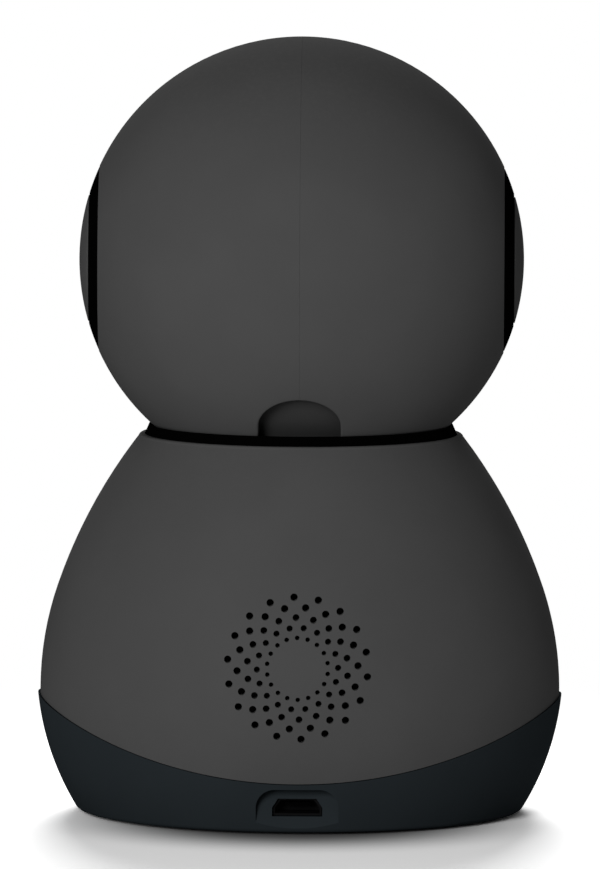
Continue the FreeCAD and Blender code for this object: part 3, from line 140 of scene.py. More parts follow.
def colour(red, green, blue):
    """A picture program's colour, 0 to 255, as linear light: a power with a straight toe."""
    steps = np.array([red, green, blue]) / 255
    linear = np.where(steps <= TOE_END, steps / TOE_SLOPE, ((steps + KNEE) / (1 + KNEE)) ** GAMMA)
    return (*linear.tolist(), 1.0)


print("share of light in a grey of 128:", round(colour(128, 128, 128)[0], 3))

# %% [markdown]
# # Groups for shared effects
# Grain, dust, smears and the rings of a lathe turn up in several finishes. With their nodes copied into
# each material, every change would be made many times. So each effect is one group, which puts out masks
# and heights, and each material places it with its own values.

# %% Start of a group
VECTOR, NUMBER = "NodeSocketVector", "NodeSocketFloat"
PLACE = (VECTOR, (0, 0, 0))


def new_effect(name, takes, gives):
    """An empty group of nodes with named inputs, which have starting values, and named outputs."""
    effect = bpy.data.node_groups.new(name, "ShaderNodeTree")
    for label, (kind, value) in takes.items():
        effect.interface.new_socket(label, in_out="INPUT", socket_type=kind).default_value = value
    for label, kind in gives.items():
        effect.interface.new_socket(label, in_out="OUTPUT", socket_type=kind)
    return effect, effect.nodes.new("NodeGroupInput").outputs, effect.nodes.new("NodeGroupOutput").inputs


def sized_noise(effect, given, size, **inputs):
    """Noise in an effect, whose lumps are as wide as the effect's own size input says, in mm."""
    scale = reckon(effect, "DIVIDE", 1 / MM, given[size])
    inputs = {"Vector": given["Place"], "Scale": scale, **inputs}
    return add_node(effect, "ShaderNodeTexNoise", inputs).outputs["Fac"]


# %% [markdown]
# # Grain of a mould
# Moulded plastic isn't smooth: the tool was spark eroded, so the skin has a very fine grain, and where the
# melt flowed unevenly its gloss drifts a little. A picture of a grain would repeat or blur close up. Noise
# at two scales does neither.

# %% Effect: grain and drift
EVEN_LEVEL = 0.5


def moulded_grain():
    """Height is fine noise; drift is slow noise, centred on nought."""
    takes = {"Place": PLACE, "Grain size": (NUMBER, 0.35), "Drift size": (NUMBER, 18)}
    effect, given, result = new_effect("moulded grain", takes, {"Height": NUMBER, "Drift": NUMBER})
    fine = sized_noise(effect, given, "Grain size", Detail=3.0)
    slow = sized_noise(effect, given, "Drift size", Detail=4.0)
    effect.links.new(fine, result["Height"])
    effect.links.new(reckon(effect, "SUBTRACT", slow, EVEN_LEVEL), result["Drift"])
    return effect


GRAIN = moulded_grain()
print("effect:", GRAIN.name)

# %% [markdown]
# # Dust
# Dust lies only on what faces up. It could be scattered as specks of geometry, which would be far too many.
# The upward part of the surface's normal says where it lies, and noise breaks it up.

# %% Effect: dust on what faces up
LYING_FROM, LYING_TO = 0.35, 1.0
SPECK_FROM, SPECK_TO = 0.45, 0.7


def settled_dust():
    """The mask is the upward part of the normal, times specks of noise, times the amount."""
    takes = {"Place": PLACE, "Amount": (NUMBER, 0.1), "Speck size": (NUMBER, 0.8)}
    effect, given, result = new_effect("settled dust", takes, {"Mask": NUMBER})
    normal = add_node(effect, "ShaderNodeNewGeometry").outputs["Normal"]
    upward = add_node(effect, "ShaderNodeSeparateXYZ", {"Vector": normal}).outputs["Z"]
    lying = between(effect, upward, LYING_FROM, LYING_TO)
    specks = sized_noise(effect, given, "Speck size", Detail=6.0)
    broken = between(effect, specks, SPECK_FROM, SPECK_TO)
    share = reckon(effect, "MULTIPLY", reckon(effect, "MULTIPLY", lying, broken), given["Amount"])
    effect.links.new(share, result["Mask"])
    return effect


DUST = settled_dust()
print("effect:", DUST.name)

# %% [markdown]
# # Smears from hands
# Hands leave faint smears that make matt plastic a little smoother. They could be painted on each piece.
# Noise that is distorted and cut to its crests gives such patches on every piece at once.

# %% Effect: faint smears
CREST_FROM, CREST_TO = 0.5, 0.75


def handled_skin():
    """The polish is how much smoother the crests of the noise leave the skin."""
    takes = {"Place": PLACE, "Smear size": (NUMBER, 9), "Strength": (NUMBER, 0.05)}
    effect, given, result = new_effect("handled skin", takes, {"Polish": NUMBER})
    smears = sized_noise(effect, given, "Smear size", Detail=5.0, Distortion=1.2)
    crest = between(effect, smears, CREST_FROM, CREST_TO)
    effect.links.new(reckon(effect, "MULTIPLY", crest, given["Strength"]), result["Polish"])
    return effect


HANDLED = handled_skin()
print("effect:", HANDLED.name)

# %% [markdown]
# # Rings of a lathe
# A cutting tool leaves fine rings round the axis of what it turns. Modelled as grooves they would need
# millions of faces. A sine of the distance from the axis gives them as a bump.

# %% Effect: rings that a cutting tool leaves
SCRATCHES_PER_MM = 2.5
SCRATCH_FROM, SCRATCH_TO = 0.55, 0.8


def turned_rings():
    """Height is a sine of the distance from the vertical axis, so it is the same all round."""
    takes = {"Place": PLACE, "Ring pitch": (NUMBER, 0.12)}
    effect, given, result = new_effect("turned rings", takes, {"Height": NUMBER, "Scratch": NUMBER})
    split = add_node(effect, "ShaderNodeSeparateXYZ", {"Vector": given["Place"]})
    flat = add_node(effect, "ShaderNodeCombineXYZ", {"X": split.outputs["X"], "Y": split.outputs["Y"]})
    away = reckon_vector(effect, "LENGTH", flat.outputs[0], output=1)
    turns = reckon(effect, "DIVIDE", reckon(effect, "MULTIPLY", away, math.tau / MM), given["Ring pitch"])
    effect.links.new(reckon(effect, "SINE", turns), result["Height"])
    inputs = {"Vector": given["Place"], "Scale": SCRATCHES_PER_MM / MM, "Detail": 4.0}
    worn = add_node(effect, "ShaderNodeTexNoise", inputs).outputs["Fac"]
    effect.links.new(between(effect, worn, SCRATCH_FROM, SCRATCH_TO), result["Scratch"])
    return effect


RINGS = turned_rings()
print("effect:", RINGS.name)

# %% [markdown]
# # One recipe for every finish
# A finish starts from a Principled shader. What is the same all over is set on the shader's own sockets, and
# what changes over the surface comes from nodes. Nodes could carry both, but the export drops some values
# that come through a node.


# %% Start and end of a material
def place_effect(tree, effect, place, **values):
    """Puts an effect into a material's tree; an underscore in the name of a value stands for a space."""
    node = add_node(tree, "ShaderNodeGroup", node_tree=effect)
    tree.links.new(place, node.inputs["Place"])
    for name, value in values.items():
        node.inputs[name.replace("_", " ")].default_value = value
    return node.outputs


def start_material(name, **shader_values):
    """A material with its Principled shader, whose even values are set on the shader's own sockets."""
    material = bpy.data.materials.new(name)
    material.use_nodes = True
    tree = material.node_tree
    shader = tree.nodes["Principled BSDF"]
    for label, value in shader_values.items():
        shader.inputs[label.replace("_", " ")].default_value = value
    place = add_node(tree, "ShaderNodeTexCoord").outputs["Object"]
    return material, tree, shader, place


def scaled(tone, factor):
    """The tone, lighter or darker by a factor."""
    return tuple(part * factor for part in tone[:3]) + (1,)


def finish_material(tree, shader, shade=None, rough=None, height=None, depth=0.0):
    """Links what changes over the surface: colour, roughness, and a height of 0 to 1 times a depth in mm."""
    normal = None
    if height is not None:
        inputs = {"Height": height, "Strength": 1.0, "Distance": depth * MM}
        normal = add_node(tree, "ShaderNodeBump", inputs).outputs["Normal"]
    for label, value in (("Base Color", shade), ("Roughness", rough), ("Normal", normal)):
        if value is not None:
            tree.links.new(value, shader.inputs[label])


# %% [markdown]
# # Plastics
# The shells are matt grey, the cradle is a blue-black of the same plastic, and the pieces that rub on each
# other are a smoother acetal. One recipe makes them all: the colour drifts a little, the roughness takes up
# the drift and the smears, and the grain is a bump. A real shell reflects a little, but in a white studio
# that draws a pale rim on every outline, so the shells have no gloss.

# %% Recipe for a moulded plastic
DUST_TONE = colour(150, 146, 140)
DRIFT_SPAN = 0.25
ROUGHNESS_DRIFT = 0.2


def moulded_plastic(
    name, tone, roughness, gloss=0.5, grain=0.35, depth=0.012, dust=0.0, shift=0.12, smears=0.06,
):
    """Colour is the tone, lighter and darker by the drift, with dust over it; roughness follows the drift."""
    material, tree, shader, place = start_material(name, Specular_IOR_Level=gloss)
    texture = place_effect(tree, GRAIN, place, Grain_size=grain)
    handled = place_effect(tree, HANDLED, place, Strength=smears)
    drift = between(tree, texture["Drift"], -DRIFT_SPAN, DRIFT_SPAN)
    shade = mix_colours(tree, drift, scaled(tone, 1 - shift), scaled(tone, 1 + shift))
    if dust:
        dusty = place_effect(tree, DUST, place, Amount=dust)
        shade = mix_colours(tree, dusty["Mask"], shade, DUST_TONE)
    drifted = reckon(tree, "MULTIPLY_ADD", texture["Drift"], ROUGHNESS_DRIFT, roughness)
    rough = reckon(tree, "SUBTRACT", drifted, handled["Polish"])
    finish_material(tree, shader, shade, rough, texture["Height"], depth)
    return material


# %% Every plastic
finishes = {}
plastics = {
    "grey_shell": dict(tone=colour(74, 74, 74), roughness=0.8, gloss=0.0, dust=0.02, shift=0.04),
    "dark_base": dict(tone=colour(38, 43, 46), roughness=0.8, gloss=0.0, dust=0.01, shift=0.05),
    "black_plastic": dict(tone=colour(3, 3, 3), roughness=0.9, gloss=0.0),
    "shield_grey": dict(tone=colour(58, 58, 58), roughness=0.8, gloss=0.02, shift=0.04),
    "frame_plastic": dict(tone=colour(30, 30, 31), roughness=0.6, gloss=0.3),
    "gear_white": dict(tone=colour(222, 219, 208), roughness=0.38, grain=1.2, depth=0.004, shift=0.03),
    # The socket's nickel shell is near black and not metal: painted shade for the dark inside of the opening.
    "socket_nickel": dict(tone=colour(9, 9, 10), roughness=0.6, gloss=0.03, grain=0.9, depth=0.004),
    "foot_rubber": dict(tone=colour(24, 24, 25), roughness=0.85, grain=0.6, depth=0.03, dust=0.1),
    # Smears make matt plastic smoother but gloss duller, so here their strength is below nought.
    "window_gloss": dict(
        tone=colour(6, 6, 8), roughness=0.08, gloss=0.25, grain=4, depth=0.001, shift=0.05, smears=-0.1,
    ),
    "ring_gloss": dict(tone=colour(18, 18, 20), roughness=0.3, gloss=0.25, grain=2, depth=0.002, smears=0.02),
}
for name, values in plastics.items():
    finishes[name] = moulded_plastic(name, **values)
print("plastics:", len(finishes))

# %% [markdown]
# # Metals
# Steel, plated brass and the speaker's tinned basket reflect nearly all light, so their colour is in the
# reflection, and a painted grey would look like plastic. Rings of the lathe and worn specks show in the
# roughness.

# %% Recipe for a turned or stamped metal
WORN_TONE = 0.7
RING_SHARE = 0.5


def turned_metal(name, tone, roughness, pitch=0.12, depth=0.004, worn=0.15):
    """Metal whose roughness rises in worn specks and whose surface has rings about the vertical axis."""
    material, tree, shader, place = start_material(name, Metallic=1.0)
    rings = place_effect(tree, RINGS, place, Ring_pitch=pitch)
    texture = place_effect(tree, GRAIN, place, Grain_size=0.8)
    shade = mix_colours(tree, rings["Scratch"], tone, scaled(tone, WORN_TONE))
    rough = reckon(tree, "MULTIPLY_ADD", rings["Scratch"], worn, roughness)
    height = reckon(tree, "MULTIPLY_ADD", rings["Height"], RING_SHARE, texture["Height"])
    finish_material(tree, shader, shade, rough, height, depth)
    return material


# %% Every metal
metals = {
    "steel": dict(tone=colour(196, 196, 200), roughness=0.3),
    "motor_steel": dict(tone=colour(178, 180, 184), roughness=0.36, pitch=0.3),
    "speaker_steel": dict(tone=colour(150, 150, 152), roughness=0.42, pitch=0.5),
    "insert_brass": dict(tone=colour(205, 168, 92), roughness=0.28),
    "magnet": dict(tone=colour(96, 96, 100), roughness=0.5, pitch=0.4, worn=0.2),
}
for name, values in metals.items():
    finishes[name] = turned_metal(name, **values)
print("finishes with metals:", len(finishes))

# %% [markdown]
# # Circuit board
# The board is a green lacquer over copper tracks, which stand out by a hair and show lighter. Drawing each
# track would be a board of its own. Cells of a square kind of noise have edges that look like tracks.

# %% Lacquered circuit board
CELLS_PER_MM = 0.45
TRACK_FROM, TRACK_TO, TRACK_RISE = 0.36, 0.42, 0.035
LACQUER_ROUGHNESS, LACQUER_DRIFT = 0.4, 0.3


def circuit_board():
    """Tracks are the edges of square cells; their mask lightens the lacquer and lifts it."""
    material, tree, shader, place = start_material("circuit_board", Coat_Weight=0.3, Coat_Roughness=0.2)
    inputs = {"Vector": place, "Scale": CELLS_PER_MM / MM}
    cells = add_node(tree, "ShaderNodeTexVoronoi", inputs, feature="F1", distance="CHEBYCHEV")
    tracks = between(tree, cells.outputs["Distance"], TRACK_FROM, TRACK_TO)
    shade = mix_colours(tree, tracks, colour(14, 62, 38), colour(38, 98, 58))
    texture = place_effect(tree, GRAIN, place, Grain_size=0.5)
    rough = reckon(tree, "MULTIPLY_ADD", texture["Drift"], LACQUER_DRIFT, LACQUER_ROUGHNESS)
    finish_material(tree, shader, shade, rough, tracks, TRACK_RISE)
    return material


finishes["circuit_board"] = circuit_board()
print("finishes with the board:", len(finishes))

# %% [markdown]
# # Pressed paper
# The speaker's cone is pressed paper with visible fibres. Hair particles could be the fibres, but the real
# ones lie within the paper, so noise that is squeezed along one direction shows them in colour and height.

# %% Pressed paper of the cone
FIBRE_SQUEEZE, FIBRES_PER_MM = (1, 0.35, 2.5), 1.6
FIBRE_FROM, FIBRE_TO, FIBRE_RISE = 0.35, 0.65, 0.05


def cone_paper():
    """Fibres are noise squeezed along one direction, seen in the colour and in the height."""
    material, tree, shader, place = start_material("cone_paper", Roughness=0.9, Specular_IOR_Level=0.1)
    squeezed = add_node(tree, "ShaderNodeMapping", {"Vector": place, "Scale": FIBRE_SQUEEZE}).outputs[0]
    inputs = {"Vector": squeezed, "Scale": FIBRES_PER_MM / MM, "Detail": 6.0, "Roughness": 0.7}
    fibres = add_node(tree, "ShaderNodeTexNoise", inputs).outputs["Fac"]
    share = between(tree, fibres, FIBRE_FROM, FIBRE_TO)
    shade = mix_colours(tree, share, colour(18, 18, 18), colour(40, 38, 36))
    finish_material(tree, shader, shade, height=fibres, depth=FIBRE_RISE)
    return material


finishes["cone_paper"] = cone_paper()
print("finishes with paper:", len(finishes))

# %% [markdown]
# # Lens and lamps
# The coating of the lens reflects a violet and a green ring round a black middle. A real coating does that by
# interference, which is slow to work out. Here the rings are painted reflections in the colour: the distance
# from the line that the lens looks along, waved a little by the drift. The lamps beside it are clear resin
# over a dark filter.

# %% Coated lens
HEAD_CENTRE = 87.2
VIOLET_FROM, VIOLET_TO = 1.1, 2.2
GREEN_FROM, GREEN_TO = 2.4, 3.4
COATING_WAVE = 0.5


def coated_lens():
    """Black, then violet, then green with the distance from the line that the lens looks along: painted
    reflections of the coating.
    """
    material, tree, shader, place = start_material("lens_coated", Roughness=0.04, Specular_IOR_Level=0.3)
    middle = (0, 0, HEAD_CENTRE * MM)
    flat = reckon_vector(tree, "MULTIPLY", reckon_vector(tree, "SUBTRACT", place, middle), (1, 0, 1))
    away = reckon_vector(tree, "LENGTH", flat, output=1)
    texture = place_effect(tree, GRAIN, place, Drift_size=3.0)
    away = reckon(tree, "MULTIPLY_ADD", texture["Drift"], COATING_WAVE * MM, away)
    # Painted reflection: the coating's violet and green rings are drawn into the colour.
    violet = between(tree, away, VIOLET_FROM * MM, VIOLET_TO * MM)
    green = between(tree, away, GREEN_FROM * MM, GREEN_TO * MM)
    shade = mix_colours(tree, violet, colour(2, 2, 4), colour(44, 18, 66))
    finish_material(tree, shader, mix_colours(tree, green, shade, colour(8, 30, 34)))
    return material


# %% Clear lamps
FLOW_SPAN = 0.2
RESIN_ROUGHNESS, RESIN_DRIFT = 0.5, 0.05


def clear_lamp():
    """Dark resin with faint streaks of flow in it and a bright skin."""
    material, tree, shader, place = start_material("lamp_clear", Coat_Weight=1.0, Coat_Roughness=0.03)
    texture = place_effect(tree, GRAIN, place, Drift_size=2.0)
    deep = between(tree, texture["Drift"], -FLOW_SPAN, FLOW_SPAN)
    shade = mix_colours(tree, deep, colour(34, 16, 22), colour(62, 34, 40))
    finish_material(tree, shader, shade, reckon(tree, "MULTIPLY_ADD", deep, RESIN_DRIFT, RESIN_ROUGHNESS))
    return material


finishes["lens_coated"] = coated_lens()
finishes["lamp_clear"] = clear_lamp()
print("finishes in all:", len(finishes))

# %% [markdown]
# # Finishes on the solids
# Each solid's record says which finish it takes. Where a solid's shape is right, a new piece would only
# repeat it. So the solid stays and gets the material, put into its object's own material slots.

# %% Give every solid its finish
slot_of = {part["node"]: part["material_slot"] for part in frame["record"]["subparts"]}
for name, solid in frame["nodes"].items():
    for socket in solid.material_slots:
        socket.link = "OBJECT"
        socket.material = finishes[slot_of[name]]
print("solids with a finish:", len(slot_of))

# %% [markdown]
# # Surfaces from arrays
# The pieces below are surfaces. A grid of points is worked out for two parameters at once, and each cell of
# the grid becomes a face. Grids that meet along an edge make one piece: their common points are merged, and
# the mesh is closed. A curve spun by hand would look the same, but a formula keeps the solids' sizes.


# %% Faces of a grid
def grid_faces(rows, columns, start=0):
    """Each face joins a point of the grid with the next one in its row and the two points below them."""
    row, column = np.meshgrid(np.arange(rows - 1), np.arange(columns - 1), indexing="ij")
    first = start + row * columns + column
    return np.stack([first, first + columns, first + columns + 1, first + 1], axis=-1).reshape(-1, 4)


print("faces between 4 rows of 5 points:", len(grid_faces(4, 5)))

# %% Grids into a piece
MERGE_DISTANCE = 0.0005
CREASE = math.radians(32)


def closed_mesh(name, grids):
    """Joins grids of points in mm, shaped rows by columns by 3, into one closed mesh that faces outwards."""
    points, faces, start = [], [], 0
    for grid in grids:
        points.append(np.asarray(grid, dtype=float).reshape(-1, 3))
        faces.append(grid_faces(*grid.shape[:2], start))
        start += len(points[-1])
    data = bpy.data.meshes.new(name)
    data.from_pydata((np.concatenate(points) * MM).tolist(), [], np.concatenate(faces).tolist())
    mesh = bmesh.new()
    mesh.from_mesh(data)
    bmesh.ops.remove_doubles(mesh, verts=mesh.verts, dist=MERGE_DISTANCE * MM)
    bmesh.ops.holes_fill(mesh, edges=[edge for edge in mesh.edges if edge.is_boundary], sides=0)
    bmesh.ops.recalc_face_normals(mesh, faces=mesh.faces)
    if mesh.calc_volume(signed=True) < 0:
        bmesh.ops.reverse_faces(mesh, faces=mesh.faces)
    mesh.to_mesh(data)
    mesh.free()
    data.shade_smooth()
    data.set_sharp_from_angle(angle=CREASE)
    return data


def add_piece(name, grids, body, slot, stands_for=()):
    """A piece made from grids, which rides on a body, has a finish and may stand for solids."""
    data = closed_mesh(name, grids)
    data.materials.append(finishes[slot])
    piece = bpy.data.objects.new(name, data)
    bpy.context.scene.collection.objects.link(piece)
    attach(piece, body)
    if stands_for:
        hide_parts(*stands_for)
    print(name, "has", len(data.polygons), "faces")


def add_pair(name, grids, body, slot, stands_for=None):
    """A piece on the right and its mirror image on the left."""
    for side, sign in (("right", 1), ("left", -1)):
        mirrored = [grid * (sign, 1, 1) for grid in grids]
        add_piece(f"{name}_{side}", mirrored, body, slot, [f"{stands_for}_{side}"] if stands_for else ())


# %% [markdown]
# # Round corners in a profile
# Nearly every moulded edge has a small radius, and that radius is what catches the light. A Bevel modifier
# gives one radius to all edges of a piece. A profile is written here as its corner points, a round one with
# its own radius, and this helper puts an arc of a few points into each round corner.


# %% Helper for profiles with round corners
def rounded(corners, steps=6):
    """Points along a line of (across, up) or (across, up, radius) corners. An arc rounds a corner; its centre
    lies between the two sides, at the radius over the sine of half their angle."""
    corners = np.array([(*corner, 0)[:3] for corner in corners], dtype=float)
    places, path = corners[:, :2], [corners[:1, :2]]
    for before, (*corner, radius), after in zip(places[:-2], corners[1:-1], places[2:]):
        corner = np.array(corner)
        if not radius:
            path.append(corner[None])
            continue
        back, forth = before - corner, after - corner
        back, forth = back / np.linalg.norm(back), forth / np.linalg.norm(forth)
        half_angle = math.acos(np.clip(back @ forth, -1, 1)) / 2
        middle = corner + (back + forth) / np.linalg.norm(back + forth) * radius / math.sin(half_angle)
        touch = corner + back * radius / math.tan(half_angle) - middle
        leave = corner + forth * radius / math.tan(half_angle) - middle
        share = np.linspace(0, 1, steps)[:, None]
        spread = math.pi - 2 * half_angle
        arc = (np.sin((1 - share) * spread) * touch + np.sin(share * spread) * leave) / math.sin(spread)
        path.append(middle + arc)
    path.append(corners[-1:, :2])
    return np.concatenate(path)


print("points along one round corner:", len(rounded([(0, 0), (1, 0, 0.2), (1, 1)])))


# %% Helper for turned pieces
def turned(profile, turns=96, centre=(0, 0, 0), axis="z"):
    """Carries each point (distance from the axis, place along it) round the axis by cosine and sine."""
    angle = np.linspace(0, math.tau, turns + 1)
    away, along = np.asarray(profile)[:, :1], np.asarray(profile)[:, 1:]
    first, second, third = away * np.cos(angle), away * np.sin(angle), along + 0 * angle
    order = {"x": (third, first, second), "y": (second, third, first), "z": (first, second, third)}[axis]
    return np.stack(order, axis=-1) + np.array(centre)


# %% [markdown]
# # Shells of the head
# The head is two half balls of grey plastic, two millimetres thick, that meet in an upright seam. Each is cut
# flat at its side, open at the face, and has half of the long slot in which the neck travels. A ball with
# holes cut by booleans would leave hard edges, and a bevel on them would fold where points lie close. So the
# shell is made of layers, like an onion, each with its own radius, slot and face opening. The outermost and
# innermost layers are the skins, and what changes from one layer to the next gives the round lips. A point
# is its distance from the seam and its angle round the pivots' axis, from the face through below and behind.

# %% Measures of the head
HEAD_RADIUS, HEAD_INSIDE = 35.0, 33.0
SIDE_START, SIDE_PLANE, SIDE_FLOOR, SIDE_ROUND = 31.3, 31.8, 29.8, 0.4
JOURNAL, JOURNAL_ROUND = 8.55, 0.2
SLOT_HALF, LIP, LIP_POINTS = 6.4, 0.35, 6
SLOT_FRONT, SLOT_REAR = math.radians(90 - 31.6), math.radians(90 + 44.5)
FACE_PLANE, FACE_SEAT = 28.0, 26.8
FACE_START, FACE_ROUND = 21.45, 0.8
FACE_BORE, BORE_ROUND = 20.2, 0.2
SEAM_HALF, SEAM_DEPTH = 0.02, 0.03


def away_at(across, radius):
    """Distance of a ball's point from an axis: the root of radius squared less place along it squared."""
    return np.sqrt(np.maximum(radius ** 2 - across ** 2, 0))


print("rim of the face opening in mm:", round(away_at(FACE_PLANE, HEAD_RADIUS), 2))

# %% Layers of the shell
quarter = np.linspace(0, math.pi / 2, LIP_POINTS)
lip_radius = HEAD_RADIUS - LIP * (1 - np.cos(quarter))
lip_half = SLOT_HALF + LIP * (1 - np.sin(quarter))
face_profile = rounded([
    (FACE_START, away_at(FACE_START, HEAD_RADIUS)),
    (away_at(FACE_PLANE, HEAD_RADIUS), FACE_PLANE, FACE_ROUND),
    (FACE_BORE, FACE_PLANE, BORE_ROUND),
    (FACE_BORE, FACE_SEAT),
    (away_at(FACE_SEAT, HEAD_INSIDE), FACE_SEAT),
])
face_radius = np.hypot(*face_profile.T)
layers = np.concatenate([lip_radius, face_radius, [HEAD_RADIUS - SEAM_DEPTH, HEAD_INSIDE]])
layers = np.unique(np.round(layers, 3))[::-1]
print("layers of the head's shell:", len(layers))


# %% Openings of one layer
def slot_half_at(radius):
    """Half the width of the slot in a layer, read off the lip's quarter circle."""
    return np.interp(radius, lip_radius[::-1], lip_half[::-1])


def face_edge_at(radius):
    """Radius of the face opening in a layer, read off the opening's profile."""
    return np.interp(radius, face_radius[::-1], face_profile[::-1, 0])


def seam_at(radius):
    """Half the width of the seam's groove: a V that closes at its depth."""
    return SEAM_HALF * np.clip(1 - (HEAD_RADIUS - radius) / SEAM_DEPTH, 0, 1)


print("slot in the outer skin in mm:", round(2 * slot_half_at(HEAD_RADIUS), 2))

# %% Columns of one layer
COLUMN_STEPS = np.linspace(0, math.pi / 2, 13)


def columns_at(radius):
    """Distances from the seam, as sines of even steps, so that points lie close where an edge is steep."""
    half, edge = slot_half_at(radius), face_edge_at(radius)
    near, beyond = half * np.sin(COLUMN_STEPS), half + (edge - half) * np.sin(COLUMN_STEPS[1:])
    near[0] = seam_at(radius)
    return near, beyond


def slot_turn(across, radius):
    """How far the slot's round end reaches beyond its centre: the arc sine of rise over distance."""
    rise = away_at(across, slot_half_at(radius))
    return np.arcsin(rise / away_at(across, radius))


def face_turn(across, radius):
    """Angle at which the face opening ends: the arc cosine of its plane's depth over distance."""
    depth = away_at(face_edge_at(radius), radius)
    return np.arccos(np.clip(depth / away_at(across, radius), -1, 1))


def on_head(across, angle, away):
    """A distance from the seam, and cosine and sine of an angle times a distance from the pivots' axis."""
    return np.stack([across + 0 * angle, -away * np.cos(angle), HEAD_CENTRE - away * np.sin(angle)], axis=-1)


print("the slot's ends reach on by", round(math.degrees(slot_turn(0, HEAD_RADIUS)), 1), "degrees")

# %% Skins of the head
FRONT_STEPS, UNDER_STEPS, REAR_STEPS = (np.linspace(0, 1, count)[:, None] for count in (15, 41, 121))
SIDE_COLUMNS = 14


def skin(radius, end):
    """The whole layer from the seam to its end, in three bands: before, behind and beside the slot."""
    near, beyond = columns_at(radius)
    beside = np.concatenate([near[-1:], beyond, np.linspace(beyond[-1], end, SIDE_COLUMNS)[1:]])
    across = np.concatenate([near[:-1], beside])
    start, turn = face_turn(across, radius), slot_turn(across, radius)
    start[across >= beyond[-1]] = 0
    before = start + (SLOT_FRONT - turn - start) * FRONT_STEPS
    behind = SLOT_REAR + turn + (math.tau - start - SLOT_REAR - turn) * REAR_STEPS
    under = SLOT_FRONT + (SLOT_REAR - SLOT_FRONT) * UNDER_STEPS + 0 * beside
    away = away_at(across, radius)
    return [
        on_head(across, before, away),
        on_head(across, behind, away),
        on_head(beside, under, away_at(beside, radius)),
    ]


# %% Edges of the slot and the face
def slot_edge(radius):
    """Path of one layer along the slot: round its front end, along its side and round its rear end."""
    near, beyond = columns_at(radius)
    turn = slot_turn(near, radius)
    side = SLOT_FRONT + (SLOT_REAR - SLOT_FRONT) * UNDER_STEPS[1:-1, 0]
    across = np.concatenate([near, np.full(len(side), near[-1]), near[::-1]])
    angle = np.concatenate([SLOT_FRONT - turn, side, (SLOT_REAR + turn)[::-1]])
    return on_head(across, angle, away_at(across, radius))


def face_edge(radius):
    """Path of one layer along its half of the round face opening, from below to above."""
    across = np.concatenate(columns_at(radius))
    turn = face_turn(across, radius)
    across, angle = np.concatenate([across, across[::-1]]), np.concatenate([turn, (math.tau - turn)[::-1]])
    return on_head(across, angle, away_at(across, radius))


# %% Edges of the seam
def seam_edge(radius, steps, begin, finish):
    """Path of one layer along the seam between two angles."""
    across = np.full(len(steps), seam_at(radius))
    angle = begin + (finish - begin) * steps[:, 0]
    return on_head(across, angle, away_at(across, radius))


def seam_before(radius):
    """The seam from the lower edge of the face to the front of the slot."""
    across = seam_at(radius)
    return seam_edge(radius, FRONT_STEPS, face_turn(across, radius), SLOT_FRONT - slot_turn(across, radius))


def seam_behind(radius):
    """The seam from the rear of the slot, up the back and over the top, to the upper edge of the face."""
    begin = SLOT_REAR + slot_turn(seam_at(radius), radius)
    return seam_edge(radius, REAR_STEPS, begin, math.tau - face_turn(seam_at(radius), radius))


# %% Flat side of the head
def side_face():
    """The flat side with its soft edge, the bore for the pivot and the floor behind them."""
    profile = rounded([
        (SIDE_START, away_at(SIDE_START, HEAD_RADIUS)),
        (SIDE_PLANE, away_at(SIDE_PLANE, HEAD_RADIUS), SIDE_ROUND),
        (SIDE_PLANE, JOURNAL, JOURNAL_ROUND),
        (SIDE_FLOOR, JOURNAL),
        (SIDE_FLOOR, away_at(SIDE_FLOOR, HEAD_INSIDE)),
    ])
    angle = np.concatenate([
        SLOT_FRONT * FRONT_STEPS,
        SLOT_FRONT + (SLOT_REAR - SLOT_FRONT) * UNDER_STEPS[1:],
        SLOT_REAR + (math.tau - SLOT_REAR) * REAR_STEPS[1:],
    ])[:, 0]
    return on_head(profile[:, :1], angle, profile[:, 1:])


# %% Two halves of the head
half_head = [*skin(HEAD_RADIUS, SIDE_START), *skin(HEAD_INSIDE, SIDE_FLOOR), side_face()]
for edge_of in (slot_edge, face_edge, seam_before, seam_behind):
    half_head.append(np.stack([edge_of(radius) for radius in layers]))
add_pair("head_half", half_head, "head", "grey_shell", "head_shell")

# %% [markdown]
# # Caps of the ears
# A grey cap closes each pivot outside its black band. Its outer face carries on the ball of the head, so the
# outline stays round. A slice of a ball would have a sharp rim, so a profile is turned about the pivots'
# axis instead, and its rim gets a small radius.

# %% Ear caps
CAP_BALL, CAP_SEAT, CAP_PLUG, CAP_BORE = 34.96, 33.35, 32.15, 3.0
RIM_ROUND, RIM_MARGIN, PLUG_ROUND, CROWN_POINTS = 0.1, 0.9, 0.3, 16
cap_edge = away_at(CAP_SEAT, CAP_BALL)
crown = np.linspace(0, cap_edge - RIM_MARGIN, CROWN_POINTS)
cap_corners = [
    *[(away, away_at(away, CAP_BALL)) for away in crown], (cap_edge, CAP_SEAT, RIM_ROUND),
    (CAP_BORE, CAP_SEAT), (CAP_BORE, CAP_PLUG, PLUG_ROUND), (0, CAP_PLUG),
]
cap = turned(rounded(cap_corners), centre=(0, 0, HEAD_CENTRE), axis="x")
add_pair("ear_cover", [cap], "pan_carriage", "grey_shell", "ear_cap")

# %% [markdown]
# Dark rings in the gaps
# Between the black band and the head's flat side runs a gap of less than a tenth of a millimetre. Closed
# in plastic it would rub, and left open it shows a line of light. A black ring fills most of it, as painted
# shade for the dark inside of the gap.

